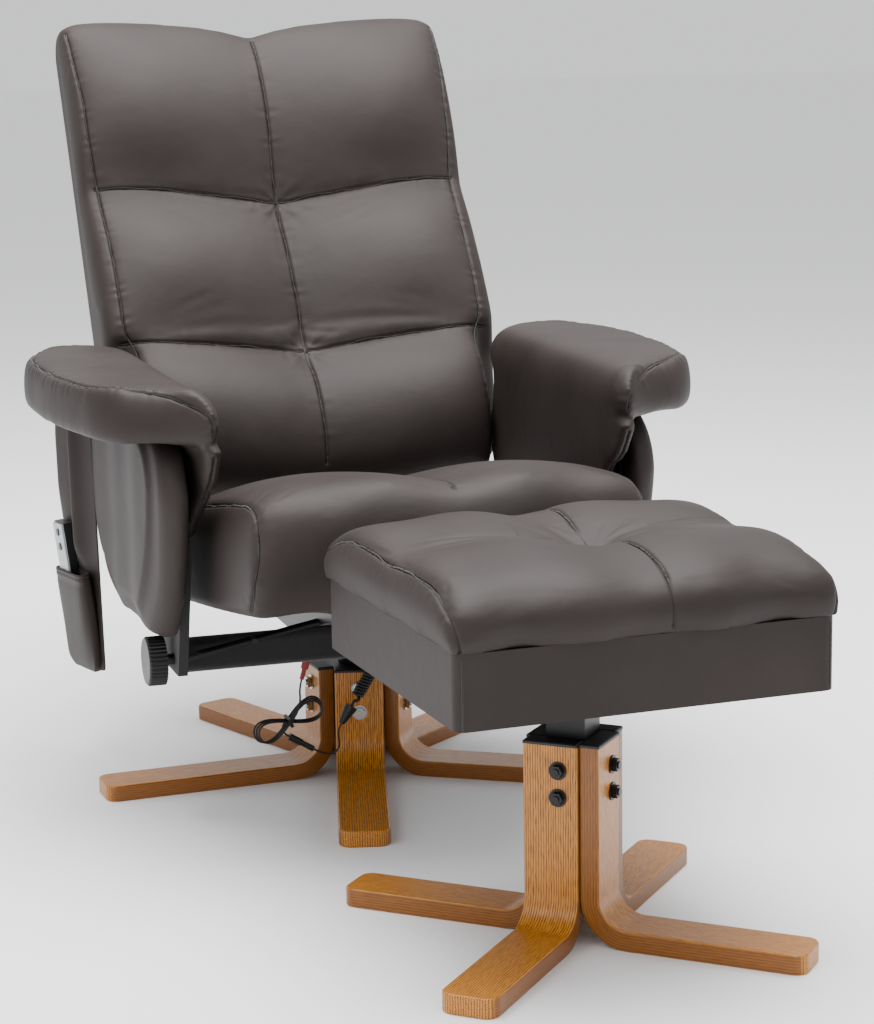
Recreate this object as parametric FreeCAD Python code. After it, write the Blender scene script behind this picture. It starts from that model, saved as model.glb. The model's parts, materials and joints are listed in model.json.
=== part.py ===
import FreeCAD, Part
import math
import os
from FreeCAD import Vector

# A reclining leather swivel chair with a footstool, in millimetres.
# Everything is laid out from the floor point under the chair's swivel axis, facing -Y with +Z up.
# At the end it is shifted along Y, so that the origin is the middle of the whole on the floor.

# Overall placing
SEAT_TILT = 9.6
BACK_LEAN = 30.5
STOOL_X = 45.0
STOOL_NEAR = 19.5
STOOL_TURN = 3.1
ROW_SHIFT = 174.5

# Clearances
SOFT_GAP = 0.6
PIECE_GAP = 0.3
RUNNING_GAP = 0.05
HOLE_GAP = 0.3
OVERRUN = 60.0

# Chair legs, hub and post
LEG_COUNT = 5
LEG_START_ANGLE = -104.8
LEG_REACH = 354.0
LEG_WIDTH = 64.0
LEG_THICKNESS = 21.0
LEG_TOP = 146.0
LEG_BEND = 55.0
LEG_TIP_RADIUS = 15.0
LEG_EDGE_RADIUS = 2.5
CAP_THICKNESS = 4.0
CAP_OVERHANG = 0.8
HUB_WALL = 4.0
HUB_BOTTOM = 56.0
HUB_TOP_PLATE = 6.0
POST_RADIUS = 22.0
POST_TOP = 194.0
BOLT_HEIGHTS = (92.0, 124.0)
STUD_RADIUS = 4.0
STUD_INSIDE = 12.0
WASHER_RADIUS = 10.0
WASHER_THICKNESS = 1.6
NUT_RADIUS = 7.6
NUT_THICKNESS = 6.0

# Swivel housing and mechanism under the seat
HOUSING_RADIUS = 31.0
HOUSING_BOTTOM = 158.0
MECHANISM_BOTTOM = 200.0
MECHANISM_WIDTH = 190.0
MECHANISM_FRONT = 114.0
MECHANISM_REAR = 90.0
MECHANISM_WALL = 4.0
SOCKET_RADIUS = 7.0
SOCKET_LENGTH = 12.0
GLAND_RADIUS = 11.0
GLAND_LENGTH = 14.0

# Seat cushion, in its own tilted frame: run is towards the back, rise is away from the seat
SEAT_HEIGHT = 385.0
SEAT_HALF_WIDTH = 248.0
SEAT_DEPTH = 600.0
SEAT_FRONT = -484.0
SEAT_THICKNESS = 128.0
SEAT_RECESS_HALF_WIDTH = 212.0
SEAT_RECESS_FRONT = -372.0
SEAT_RECESS_REAR = 96.0

# Seat frame
RAIL_WIDTH = 20.0
RAIL_HEIGHT = 30.0
RAIL_WALL = 2.0
RAIL_SPREAD = 190.0
STRAP_COUNT = 5
STRAP_WIDTH = 48.0
STRAP_THICKNESS = 2.5
RAIL_LIFT = 6.0
STRAP_FRONT = -322.0
STRAP_PITCH = 95.0
MOTOR_RADIUS = 27.0
MOTOR_THICKNESS = 20.0
MOTOR_SPREAD = 92.0

# Backrest, in its own leaning frame: run is up the back, rise is towards the sitter
BACK_ORIGIN_Y = 200.0
BACK_ORIGIN_Z = 330.0
BACK_LENGTH = 722.0
BACK_HALF_WIDTH = 264.0
BACK_THICKNESS = 130.0
BACK_REAR = -34.0
BACK_RECESS_HALF_WIDTH = 206.0
BACK_RECESS_BOTTOM = 43.0
BACK_RECESS_TOP = 600.0
BACK_RAIL_SPREAD = 186.0
BACK_RAIL_WIDTH = 22.0
BACK_RAIL_HEIGHT = 18.0
BACK_RAIL_BOTTOM = 40.0
BACK_STRAP_COUNT = 4
BACK_STRAP_PITCH = 118.0
BACK_BAR_SHARE = 1.5
BACK_STRAP_WIDTH = 60.0
BACK_MOTOR_THICKNESS = 14.0
COVER_THICKNESS = 7.0
PIVOT_Y = 212.0
PIVOT_Z = 292.0
PIVOT_RADIUS = 6.0
PIVOT_EYE_RADIUS = 16.0
PLATE_THICKNESS = 5.0
EYE_SHARE = 0.9

# Arms
ARM_INNER_FACE = 249.5
ARM_INNER_THICKNESS = 19.0
ARM_FRAME_THICKNESS = 12.0
ARM_OUTER_THICKNESS = 44.0
ARM_FRONT = -352.0
ARM_LENGTH = 582.0
ARM_REAR_GAP = 7.0
ARM_SIDE_GAP = 2.6
ARM_WING = 170.0
ARM_PAD_BOTTOM = 500.0
ARM_PAD_HEIGHT = 66.0
INNER_PANEL_FRONT = -336.0
INNER_PANEL_LENGTH = 520.0
INNER_PANEL_HEIGHT = 162.0
LEAF_HEIGHT = 250.0
LEAF_FRONT = -292.0
LEAF_LENGTH = 474.0
ARM_FRAME_FRONT = -228.0
ARM_FRAME_LENGTH = 360.0
ARM_FRAME_BOTTOM = 193.0
CROSSBAR_Y = -126.0
CROSSBAR_Z = 206.0
CROSSBAR_HEIGHT = 44.0
CROSSBAR_DEPTH = 24.0

# Recline knob and its rod
KNOB_RADIUS = 31.0
KNOB_THICKNESS = 23.0
KNOB_RIBS = 36
KNOB_RIB_DEPTH = 1.2
KNOB_OUTER_X = -317.0
KNOB_Y = -158.0
KNOB_Z = 210.0
KNOB_STUB_RADIUS = 7.0
ROD_RADIUS = 3.6
ROD_RISE = 32.0
ROD_SPACING = 8.4
SCREW_RADIUS = 4.0

# Side pocket and handset, in the pocket's own frame
POCKET_X = -337.4
POCKET_Y = 187.5
POCKET_TURN = 7.0
POCKET_SKEW = 3.9
POCKET_LEAN = 5.9
POCKET_WIDTH = 120.0
POCKET_DROP = 238.0
POCKET_DEPTH = 136.0
POCKET_THICKNESS = 21.0
POCKET_FOOT_THICKNESS = 19.4
POCKET_SKIN = 2.0
POCKET_STRAP_FRONT = -56.0
POCKET_STRAP_WIDTH = 90.0
HANDSET_WIDTH = 46.0
HANDSET_LENGTH = 158.0
HANDSET_THICKNESS = 11.0
HANDSET_OUT = 66.0
HANDSET_OFFSET = 18.0
HANDSET_FACE_THICKNESS = 2.8
HANDSET_RIM = 2.0
BUTTON_RADIUS = 5.0
BUTTON_STAND = 1.4
BUTTON_TRAVEL = 1.0
BUTTON_DROPS = (14.0, 34.0)

# Footstool
STOOL_LEG_COUNT = 4
STOOL_LEG_START = -135.0
STOOL_LEG_REACH = 274.0
STOOL_LEG_WIDTH = 63.0
STOOL_LEG_THICKNESS = 22.0
STOOL_LEG_TOP = 222.0
STOOL_LEG_BEND = 54.0
STOOL_TUBE = 45.0
STOOL_TUBE_WALL = 3.0
STOOL_BOLT_HEIGHTS = (165.0, 195.0)
STOOL_BOX_WIDTH = 421.0
STOOL_BOX_DEPTH = 399.0
STOOL_BOX_BOTTOM = 299.0
STOOL_BOX_HEIGHT = 79.0
STOOL_BOX_WALL = 14.0
STOOL_BOX_FLOOR = 10.0
STOOL_BOX_CORNER = 14.0
STOOL_PLATE = 4.0
STOOL_PLATE_SIZE = 150.0
DUST_COVER = 1.2
LID_BOARD = 12.0
LID_OVERHANG = 6.0
LID_HEIGHT = 74.0
LID_WALL = 12.0
HINGE_RADIUS = 2.6
HINGE_OUT = 4.4
HINGE_LENGTH = 50.0
HINGE_SPREAD = 120.0
HINGE_LEAF = 13.0
HINGE_LEAF_THICKNESS = 1.0

# Leads, all hanging under the seat in front of the swivel post
LEAD_DIAMETER = 2.6
PLUG_LEAN = 0.28
PLUG_RADIUS = 5.0
PLUG_LENGTH = 38.0
HANK_X = -120.0
HANK_Z = 98.0
HANK_SLOPE = 22.0
HANK_TURNS = 3
HANK_REACH = 50.0
HANK_LOBE = 15.0
HANK_PITCH = 6.2
HANK_GROWTH = 0.12
HANK_TAIL = 3.2
TIE_WIDTH = 4.0
TIE_THICKNESS = 1.4
TIE_HALF_HEIGHT = 4.6
CONNECTOR_RADIUS = 4.6
CONNECTOR_LENGTH = 38.0
CURL_LEAN = 0.64
CURL_LENGTH = 93.0
CURL_RADIUS = 6.1
CURL_WIRE = 3.8
CURL_COUNT = 13
CURL_TAIL = 4.2
CURL_LEAD_IN = 12.0
BOOT_RADIUS = 9.0
BOOT_LENGTH = 26.0
TURN_STEPS = 8
OPENING_TURN = 1.5 * math.pi
HANK_STEPS = 16
PLUG_GRIP_SHARE = 0.62
PLUG_NECK_SHARE = 0.6
UPPER_FIRST = 13.0
UPPER_LAST = 12.0
UPPER_BOW = 3.0
CONNECTOR_SLOPE = math.radians(-32.0)
SLEEVE_SHARE = 0.8
LOWER_RUN = 8.4
LOWER_STRETCH = 1.15
BOOT_TIP_RADIUS = 4.0
BOOT_RUN = 12.0
BEND_SHARE = 0.85
BEND_DROP = -9.0
BEND_OUT = 5.0
BEND_RISE = 12.0
TIE_CLEAR = 0.8
ARC_SHARE = 0.45
STEP_SHARE = 0.001
TANGENT_LIMIT = 1e-9


# Small builders


def face_of(edges):
    return Part.Face(Part.Wire(edges))


def line(start, end):
    return Part.LineSegment(start, end).toShape()


def arc(start, middle, end):
    return Part.Arc(start, middle, end).toShape()


def block(low, size):
    return Part.makeBox(size.x, size.y, size.z, low)


def rod(start, end, radius):
    return Part.makeCylinder(radius, start.distanceToPoint(end), start, end - start)


def polygon_face(points):
    return Part.Face(Part.makePolygon(list(points) + [points[0]]))


def mirrored(shape):
    return shape.mirror(Vector(0, 0, 0), Vector(1, 0, 0))


def turned(shape, angle, about=Vector(0, 0, 0), axis=Vector(0, 0, 1)):
    copy = shape.copy()
    copy.rotate(about, axis, angle)
    return copy


def moved(shape, offset):
    copy = shape.copy()
    copy.translate(offset)
    return copy


def joined(shapes):
    result = shapes[0].fuse(shapes[1:]) if len(shapes) > 1 else shapes[0]
    return result.removeSplitter()


def hexagon(centre, normal, radius, thickness):
    side = normal.cross(Vector(0, 0, 1))
    points = []
    for index in range(6):
        turn = math.radians(60 * index)
        points.append(centre + side * (radius * math.cos(turn)) + Vector(0, 0, radius * math.sin(turn)))
    return polygon_face(points).extrude(normal * thickness)


# Bent plywood legs


def bent_leg(width, thickness, top, bend, reach, inner, shift):
    """A board that hangs down, bends through a quarter circle and lies on the floor to its tip."""
    centre = Vector(inner + bend, 0, bend)
    bow = math.sqrt(0.5)
    hollow = bend - thickness
    inside = inner + thickness

    def at(run, height):
        return Vector(run, 0, height)

    outline = face_of(
        [
            line(at(inner, top), at(inner, bend)),
            arc(at(inner, bend), centre - at(bend * bow, bend * bow), at(inner + bend, 0)),
            line(at(inner + bend, 0), at(reach, 0)),
            line(at(reach, 0), at(reach, thickness)),
            line(at(reach, thickness), at(inner + bend, thickness)),
            arc(at(inner + bend, thickness), centre - at(hollow * bow, hollow * bow), at(inside, bend)),
            line(at(inside, bend), at(inside, top)),
            line(at(inside, top), at(inner, top)),
        ]
    )
    board = outline.extrude(Vector(0, width, 0))
    board.translate(Vector(0, shift - width / 2, 0))
    tips = []
    for edge in board.Edges:
        if edge.BoundBox.XMin > reach - PIECE_GAP and edge.BoundBox.YLength < PIECE_GAP:
            tips.append(edge)
    board = board.makeFillet(LEG_TIP_RADIUS, tips)
    rims = []
    for face in board.Faces:
        if face.BoundBox.YLength > PIECE_GAP:
            continue
        for edge in face.Edges:
            box = edge.BoundBox
            if box.XLength + box.ZLength > bend and box.ZMin > PIECE_GAP:
                rims.append(edge)
    return board.makeFillet(LEG_EDGE_RADIUS, rims)


def leg_holes(leg, inner, thickness, heights):
    holes = []
    for z in heights:
        start = Vector(inner - OVERRUN, 0, z)
        holes.append(rod(start, Vector(inner + thickness + OVERRUN, 0, z), STUD_RADIUS + HOLE_GAP))
    return leg.cut(holes)


def leg_fasteners(face_radius, inner, heights, inside):
    """Stud through the board with a washer and hex nut standing on its outer face."""
    pieces = []
    out = Vector(1, 0, 0)
    for z in heights:
        foot = Vector(face_radius, 0, z)
        tip = foot + out * (NUT_THICKNESS + 2 * WASHER_THICKNESS)
        stud = rod(Vector(inner - inside, 0, z), tip, STUD_RADIUS)
        washer = rod(foot, foot + out * WASHER_THICKNESS, WASHER_RADIUS)
        nut = hexagon(foot + out * WASHER_THICKNESS, out, NUT_RADIUS, NUT_THICKNESS)
        pieces.append(joined([stud, washer, nut]))
    return pieces


def leg_cap(inner, thickness, width, top, shift):
    low = Vector(inner, shift - width / 2 - CAP_OVERHANG, top)
    cap = block(low, Vector(thickness + CAP_OVERHANG, width + 2 * CAP_OVERHANG, CAP_THICKNESS))
    edges = [e for e in cap.Edges if e.BoundBox.ZMin > top + CAP_THICKNESS / 2]
    return cap.makeChamfer(CAP_THICKNESS / 3, edges)


def regular_prism(count, apothem, low, high, start_angle):
    points = []
    corner = apothem / math.cos(math.pi / count)
    for index in range(count):
        turn = math.radians(start_angle + 180.0 / count) + 2 * math.pi * index / count
        points.append(Vector(corner * math.cos(turn), corner * math.sin(turn), low))
    return polygon_face(points).extrude(Vector(0, 0, high - low))


def chair_base():
    apothem = LEG_WIDTH / 2 / math.tan(math.pi / LEG_COUNT) + PIECE_GAP
    outer = apothem + LEG_THICKNESS
    board = bent_leg(LEG_WIDTH, LEG_THICKNESS, LEG_TOP, LEG_BEND, LEG_REACH, apothem, 0.0)
    board = leg_holes(board, apothem, LEG_THICKNESS, BOLT_HEIGHTS)
    cap = leg_cap(apothem, LEG_THICKNESS, LEG_WIDTH - 2 * CAP_OVERHANG - PIECE_GAP, LEG_TOP, 0.0)
    angles = [LEG_START_ANGLE + 360.0 / LEG_COUNT * index for index in range(LEG_COUNT)]
    nodes = {}
    caps = []
    bolts = []
    for index, angle in enumerate(angles):
        nodes["base_leg_%d" % (index + 1)] = turned(board, angle)
        caps.append(turned(cap, angle))
        for bolt in leg_fasteners(outer, apothem, BOLT_HEIGHTS, STUD_INSIDE):
            bolts.append(turned(bolt, angle))
    hub = regular_prism(LEG_COUNT, apothem, HUB_BOTTOM, LEG_TOP, LEG_START_ANGLE)
    inside = apothem - HUB_WALL
    plate_bottom = LEG_TOP - HUB_TOP_PLATE
    hub = hub.cut(regular_prism(LEG_COUNT, inside, HUB_BOTTOM - OVERRUN, plate_bottom, LEG_START_ANGLE))
    bore = Vector(0, 0, LEG_TOP + OVERRUN)
    hub = hub.cut(rod(Vector(0, 0, HUB_BOTTOM), bore, POST_RADIUS + RUNNING_GAP))
    for angle in angles:
        for z in BOLT_HEIGHTS:
            hole = rod(Vector(0, 0, z), Vector(outer, 0, z), STUD_RADIUS + HOLE_GAP)
            hub = hub.cut(turned(hole, angle))
    nodes["base_hub"] = hub
    nodes["base_leg_caps"] = Part.makeCompound(caps)
    nodes["base_leg_bolts"] = Part.makeCompound(bolts)
    flange = rod(Vector(0, 0, LEG_TOP), Vector(0, 0, LEG_TOP + CAP_THICKNESS), POST_RADIUS + HUB_WALL)
    post = rod(Vector(0, 0, HUB_BOTTOM + HUB_WALL), Vector(0, 0, POST_TOP), POST_RADIUS)
    nodes["swivel_post"] = joined([post, flange])
    return nodes


# Quilted cushions
# A cushion is lofted across its width through side outlines with the same corners, joined by arcs.
# A corner is (run share, rise share) in the middle, the same at the edge, its width share and crown share.
# A side is its bulge direction, its bulge share at the seams and the share added in mid panel.


def quilted_cushion(corners, sides, across_shares, size, place):
    half_width, length, thickness = size
    wires = []
    for across, puff, shrink in across_shares:
        points = []
        for middle, edge, width_share, crown in corners:
            blend = min(across, 1.0)
            run = length * (middle[0] + (edge[0] - middle[0]) * blend)
            rise = thickness * (middle[1] + (edge[1] - middle[1]) * blend * blend + crown * puff)
            widening = 1 if shrink else 1 + (width_share - 1) * blend
            points.append([half_width * across * widening, run, rise])
        run_mean = sum(p[1] for p in points) / len(points)
        rise_mean = sum(p[2] for p in points) / len(points)
        for p in points:
            p[1] = run_mean + (p[1] - run_mean) * (1 - shrink * thickness / length)
            p[2] = rise_mean + (p[2] - rise_mean) * (1 - shrink)
        edges = []
        for index, (direction, seam_bulge, panel_bulge) in enumerate(sides):
            start = points[index]
            end = points[(index + 1) % len(points)]
            bulge = thickness * (seam_bulge + panel_bulge * puff) * (1 - shrink / 2)
            middle = [(a + b) / 2 for a, b in zip(start, end)]
            middle[1] += direction[0] * bulge
            middle[2] += direction[1] * bulge
            if bulge > 0:
                edges.append(arc(place(*start), place(*middle), place(*end)))
            else:
                edges.append(line(place(*start), place(*end)))
        wires.append(Part.Wire(edges))
    half = Part.makeLoft(wires, True, False)
    whole = half.fuse(mirrored(half))
    return whole.removeSplitter()


def seat_point(across, run, rise):
    tilt = math.radians(SEAT_TILT)
    return Vector(
        across,
        run * math.cos(tilt) + rise * math.sin(tilt),
        SEAT_HEIGHT - run * math.sin(tilt) + rise * math.cos(tilt),
    )


def seat_placed(shape):
    copy = shape.copy()
    copy.rotate(Vector(0, 0, 0), Vector(1, 0, 0), -SEAT_TILT)
    copy.translate(Vector(0, 0, SEAT_HEIGHT))
    return copy


def back_point(across, run, rise):
    lean = math.radians(BACK_LEAN)
    return Vector(
        across,
        BACK_ORIGIN_Y + run * math.sin(lean) - rise * math.cos(lean),
        BACK_ORIGIN_Z + run * math.cos(lean) + rise * math.sin(lean),
    )


def back_placed(shape):
    copy = shape.copy()
    copy.rotate(Vector(0, 0, 0), Vector(1, 0, 0), 90 - BACK_LEAN)
    copy.translate(Vector(0, BACK_ORIGIN_Y, BACK_ORIGIN_Z))
    return copy


ACROSS_SHARES = (
    (0.0, 0.0, 0.0),
    (0.12, 0.6, 0.0),
    (0.5, 1.0, 0.0),
    (0.86, 0.6, 0.0),
    (0.97, 0.1, 0.0),
    (1.0, 0.0, 0.14),
)
BACK_ACROSS_SHARES = ACROSS_SHARES[:4] + ((0.98, 0.0, 0.0), (1.065, 0.0, 0.3))

SEAT_CORNER_SHARES = (
    ((0.985, -1.0), (0.985, -1.0), 1.0, 0.0),
    ((0.985, -0.14), (0.985, -0.12), 1.0, 0.0),
    ((0.05, -0.03), (0.08, -0.05), 1.0, 0.12),
    ((0.1, -1.2), (0.13, -1.06), 1.0, 0.0),
)
SEAT_SIDE_SHARES = (
    ((1.0, 0.0), 0.02, 0.02),
    ((0.0, 1.0), 0.05, 0.12),
    ((-1.0, 0.0), 0.24, 0.06),
    ((0.0, -1.0), 0.02, 0.02),
)

BACK_CORNER_SHARES = (
    ((0.004, -0.26), (0.004, -0.26), 0.93, 0.0),
    ((0.004, 0.62), (0.004, 0.56), 0.93, 0.12),
    ((0.276, 0.4), (0.292, 0.78), 0.985, 0.08),
    ((0.606, 0.3), (0.636, 0.5), 0.99, 0.08),
    ((0.965, 0.42), (0.995, 0.52), 1.05, 0.1),
    ((0.955, -0.1), (0.985, -0.1), 1.03, 0.0),
)
BACK_SIDE_SHARES = (
    ((-1.0, 0.0), 0.03, 0.02),
    ((0.0, 1.0), 0.26, 0.12),
    ((0.0, 1.0), 0.1, 0.18),
    ((0.0, 1.0), 0.18, 0.14),
    ((1.0, 0.0), 0.18, 0.1),
    ((0.0, -1.0), 0.03, 0.03),
)


def seat_recess_depth():
    return RAIL_LIFT + RAIL_HEIGHT + STRAP_THICKNESS + SOFT_GAP


def seat_cushion():
    def place(across, run, rise):
        return seat_point(across, SEAT_FRONT + run, rise)

    size = (SEAT_HALF_WIDTH, SEAT_DEPTH, SEAT_THICKNESS)
    cushion = quilted_cushion(SEAT_CORNER_SHARES, SEAT_SIDE_SHARES, ACROSS_SHARES, size, place)
    low = Vector(-SEAT_RECESS_HALF_WIDTH, SEAT_RECESS_FRONT, -SEAT_THICKNESS - OVERRUN)
    span = Vector(
        2 * SEAT_RECESS_HALF_WIDTH,
        SEAT_RECESS_REAR - SEAT_RECESS_FRONT,
        OVERRUN + seat_recess_depth(),
    )
    slot_low = Vector(
        RAIL_SPREAD - RAIL_WIDTH / 2 - PLATE_THICKNESS - SOFT_GAP,
        SEAT_RECESS_REAR - RAIL_WIDTH,
        low.z,
    )
    slot_size = Vector(PLATE_THICKNESS + 2 * SOFT_GAP, RAIL_WIDTH + OVERRUN, span.z + RAIL_WIDTH)
    slot = seat_placed(block(slot_low, slot_size))
    return cushion.cut([seat_placed(block(low, span)), slot, mirrored(slot)])


def tube_bar(low, size, wall, along):
    """Square steel tube: the bore runs along the named axis, X or Y."""
    inset = Vector(wall, wall, wall)
    bore_low = low + inset
    bore_size = size - inset * 2
    if along == "X":
        bore_low.x = low.x - OVERRUN
        bore_size.x = size.x + 2 * OVERRUN
    else:
        bore_low.y = low.y - OVERRUN
        bore_size.y = size.y + 2 * OVERRUN
    return block(low, size).cut(block(bore_low, bore_size))


def seat_frame():
    rail_low = -SEAT_THICKNESS + RAIL_LIFT
    rail_front = SEAT_RECESS_FRONT + RAIL_WIDTH / 2
    rail_rear = SEAT_RECESS_REAR - PIECE_GAP
    inside = RAIL_SPREAD - RAIL_WIDTH / 2
    rails = []
    for side in (-1, 1):
        low = Vector(side * RAIL_SPREAD - RAIL_WIDTH / 2, rail_front, rail_low)
        size = Vector(RAIL_WIDTH, rail_rear - rail_front, RAIL_HEIGHT)
        rails.append(tube_bar(low, size, RAIL_WALL, "Y"))
    bars = []
    front_bar = (rail_front + RAIL_WIDTH / 2, inside)
    rear_bar = (rail_rear - 2 * RAIL_WIDTH, inside - PLATE_THICKNESS)
    for run, reach in (front_bar, rear_bar):
        low = Vector(-reach, run, rail_low)
        bars.append(tube_bar(low, Vector(2 * reach, RAIL_WIDTH, RAIL_HEIGHT), RAIL_WALL, "X"))
    strap_low = rail_low + RAIL_HEIGHT
    strap_span = 2 * RAIL_SPREAD + RAIL_WIDTH
    straps = []
    motors = []
    for index in range(STRAP_COUNT):
        run = STRAP_FRONT + STRAP_PITCH * index
        low = Vector(-RAIL_SPREAD - RAIL_WIDTH / 2, run - STRAP_WIDTH / 2, strap_low)
        straps.append(block(low, Vector(strap_span, STRAP_WIDTH, STRAP_THICKNESS)))
        if index in (1, 3):
            for side in (-1, 1):
                foot = Vector(side * MOTOR_SPREAD, run, strap_low)
                motors.append(rod(foot, foot - Vector(0, 0, MOTOR_THICKNESS), MOTOR_RADIUS))
    return {
        "seat_frame": seat_placed(Part.makeCompound(rails + bars)),
        "seat_webbing": seat_placed(Part.makeCompound(straps)),
        "massage_motors_seat": seat_placed(Part.makeCompound(motors)),
    }


def swivel_and_mechanism():
    housing = rod(Vector(0, 0, HOUSING_BOTTOM), Vector(0, 0, MECHANISM_BOTTOM), HOUSING_RADIUS)
    below = Vector(0, 0, HOUSING_BOTTOM - OVERRUN)
    bore = rod(below, Vector(0, 0, POST_TOP + PIECE_GAP), POST_RADIUS + RUNNING_GAP)
    half = MECHANISM_WIDTH / 2
    base = block(
        Vector(-half, -MECHANISM_FRONT, MECHANISM_BOTTOM),
        Vector(MECHANISM_WIDTH, MECHANISM_FRONT + MECHANISM_REAR, MECHANISM_WALL),
    )
    rail_low = -SEAT_THICKNESS + RAIL_LIFT
    bar_front = seat_point(-half, SEAT_RECESS_FRONT + RAIL_WIDTH, rail_low)
    bar_rear = seat_point(-half, SEAT_RECESS_REAR - PIECE_GAP - RAIL_WIDTH, rail_low)
    crossbar_top = CROSSBAR_Z + CROSSBAR_HEIGHT / 2 + RAIL_LIFT
    nose = -MECHANISM_FRONT - CROSSBAR_DEPTH - RAIL_LIFT
    corners = [
        Vector(-half, MECHANISM_REAR, MECHANISM_BOTTOM),
        bar_rear,
        bar_front,
        bar_front - Vector(0, 0, RAIL_HEIGHT),
        Vector(-half, nose, crossbar_top),
        Vector(-half, -MECHANISM_FRONT, crossbar_top),
        Vector(-half, -MECHANISM_FRONT, MECHANISM_BOTTOM),
    ]
    wall = polygon_face(corners).extrude(Vector(MECHANISM_WALL, 0, 0))
    mechanism = joined([base, wall, mirrored(wall), lead_socket(), curl_gland()])
    reach = ARM_INNER_FACE + ARM_INNER_THICKNESS - PIECE_GAP
    low = Vector(-reach, CROSSBAR_Y - CROSSBAR_DEPTH / 2, CROSSBAR_Z - CROSSBAR_HEIGHT / 2)
    crossbar = block(low, Vector(2 * reach, CROSSBAR_DEPTH, CROSSBAR_HEIGHT))
    long_edges = [e for e in crossbar.Edges if e.BoundBox.XLength > reach]
    crossbar = crossbar.makeFillet(CROSSBAR_DEPTH / 2 - RAIL_WALL, long_edges)
    return {
        "swivel_housing": housing.cut(bore),
        "seat_mechanism": mechanism,
        "under_seat_crossbar": crossbar,
    }


# Recline pivot

def plate_through(points, eye, x_start, thickness, hole_radius):
    """Flat steel plate across X: a polygon joined to a round eye, with a hole at the eye."""
    base = Vector(x_start, 0, 0)
    body = polygon_face([p + base for p in points]).extrude(Vector(thickness, 0, 0))
    boss = rod(eye + base, eye + base + Vector(thickness, 0, 0), PIVOT_EYE_RADIUS)
    plate = joined([body, boss])
    if hole_radius:
        reach = Vector(OVERRUN, 0, 0)
        plate = plate.cut(rod(eye + base - reach, eye + base + reach, hole_radius))
    return plate


def recline_plates():
    """The seat's plates carry the pins, and the back's plates turn on them with a running fit."""
    eye = Vector(0, PIVOT_Y, PIVOT_Z)
    rail_low = -SEAT_THICKNESS + RAIL_LIFT
    rear = SEAT_RECESS_REAR - PIECE_GAP
    seat_corners = [
        seat_point(0, rear - 3 * RAIL_HEIGHT, rail_low),
        eye + Vector(0, 0, -PIVOT_EYE_RADIUS * EYE_SHARE),
        eye + Vector(0, 0, PIVOT_EYE_RADIUS * EYE_SHARE),
        seat_point(0, rear - RAIL_HEIGHT / 3, rail_low + RAIL_HEIGHT),
        seat_point(0, rear - 3 * RAIL_HEIGHT, rail_low + RAIL_HEIGHT),
    ]
    inner = RAIL_SPREAD - RAIL_WIDTH / 2 - PLATE_THICKNESS
    plate = plate_through(seat_corners, eye, inner, PLATE_THICKNESS, 0)
    pin_start = eye + Vector(inner - PLATE_THICKNESS - 2 * PIECE_GAP, 0, 0)
    pin = rod(pin_start, eye + Vector(inner + PLATE_THICKNESS, 0, 0), PIVOT_RADIUS)
    head = rod(pin_start - Vector(PLATE_THICKNESS, 0, 0), pin_start, PIVOT_RADIUS + RAIL_WALL)
    bracket = joined([plate, pin, head])
    rail_rear = BACK_REAR + COVER_THICKNESS + PIECE_GAP
    back_corners = [
        eye + Vector(0, PIVOT_EYE_RADIUS * EYE_SHARE, 0),
        eye + Vector(0, -PIVOT_EYE_RADIUS * EYE_SHARE, 0),
        back_point(0, BACK_RAIL_BOTTOM, rail_rear + BACK_RAIL_HEIGHT),
        back_point(0, BACK_RAIL_BOTTOM + 2 * BACK_STRAP_WIDTH, rail_rear + BACK_RAIL_HEIGHT),
        back_point(0, BACK_RAIL_BOTTOM + 2 * BACK_STRAP_WIDTH, rail_rear),
        back_point(0, BACK_RAIL_BOTTOM, rail_rear),
    ]
    start = inner - PLATE_THICKNESS - PIECE_GAP
    hinge = plate_through(back_corners, eye, start, PLATE_THICKNESS, PIVOT_RADIUS + RUNNING_GAP)
    return {
        "recline_brackets": Part.makeCompound([bracket, mirrored(bracket)]),
        "back_hinge_plates": Part.makeCompound([hinge, mirrored(hinge)]),
    }


# Backrest


def back_recess_depth():
    return COVER_THICKNESS + PIECE_GAP + BACK_RAIL_HEIGHT + STRAP_THICKNESS + SOFT_GAP


def back_cushion():
    size = (BACK_HALF_WIDTH, BACK_LENGTH, BACK_THICKNESS)
    shares = BACK_ACROSS_SHARES
    cushion = quilted_cushion(BACK_CORNER_SHARES, BACK_SIDE_SHARES, shares, size, back_point)
    trim = BACK_HALF_WIDTH * 2
    low = Vector(-trim, -BACK_LENGTH, BACK_REAR - trim)
    cushion = cushion.cut(back_placed(block(low, Vector(2 * trim, 3 * BACK_LENGTH, trim))))
    low = Vector(-BACK_RECESS_HALF_WIDTH, -OVERRUN, BACK_REAR - OVERRUN)
    span = Vector(
        2 * BACK_RECESS_HALF_WIDTH,
        BACK_RECESS_TOP + OVERRUN,
        OVERRUN + back_recess_depth(),
    )
    cushion = cushion.cut(back_placed(block(low, span)))
    low = Vector(ARM_INNER_FACE - ARM_SIDE_GAP, ARM_FRONT, 0)
    arm_top = ARM_PAD_BOTTOM + ARM_PAD_HEIGHT + ARM_SIDE_GAP
    beside = block(low, Vector(trim, ARM_LENGTH + ARM_REAR_GAP, arm_top))
    return cushion.cut([beside, mirrored(beside)])


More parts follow.
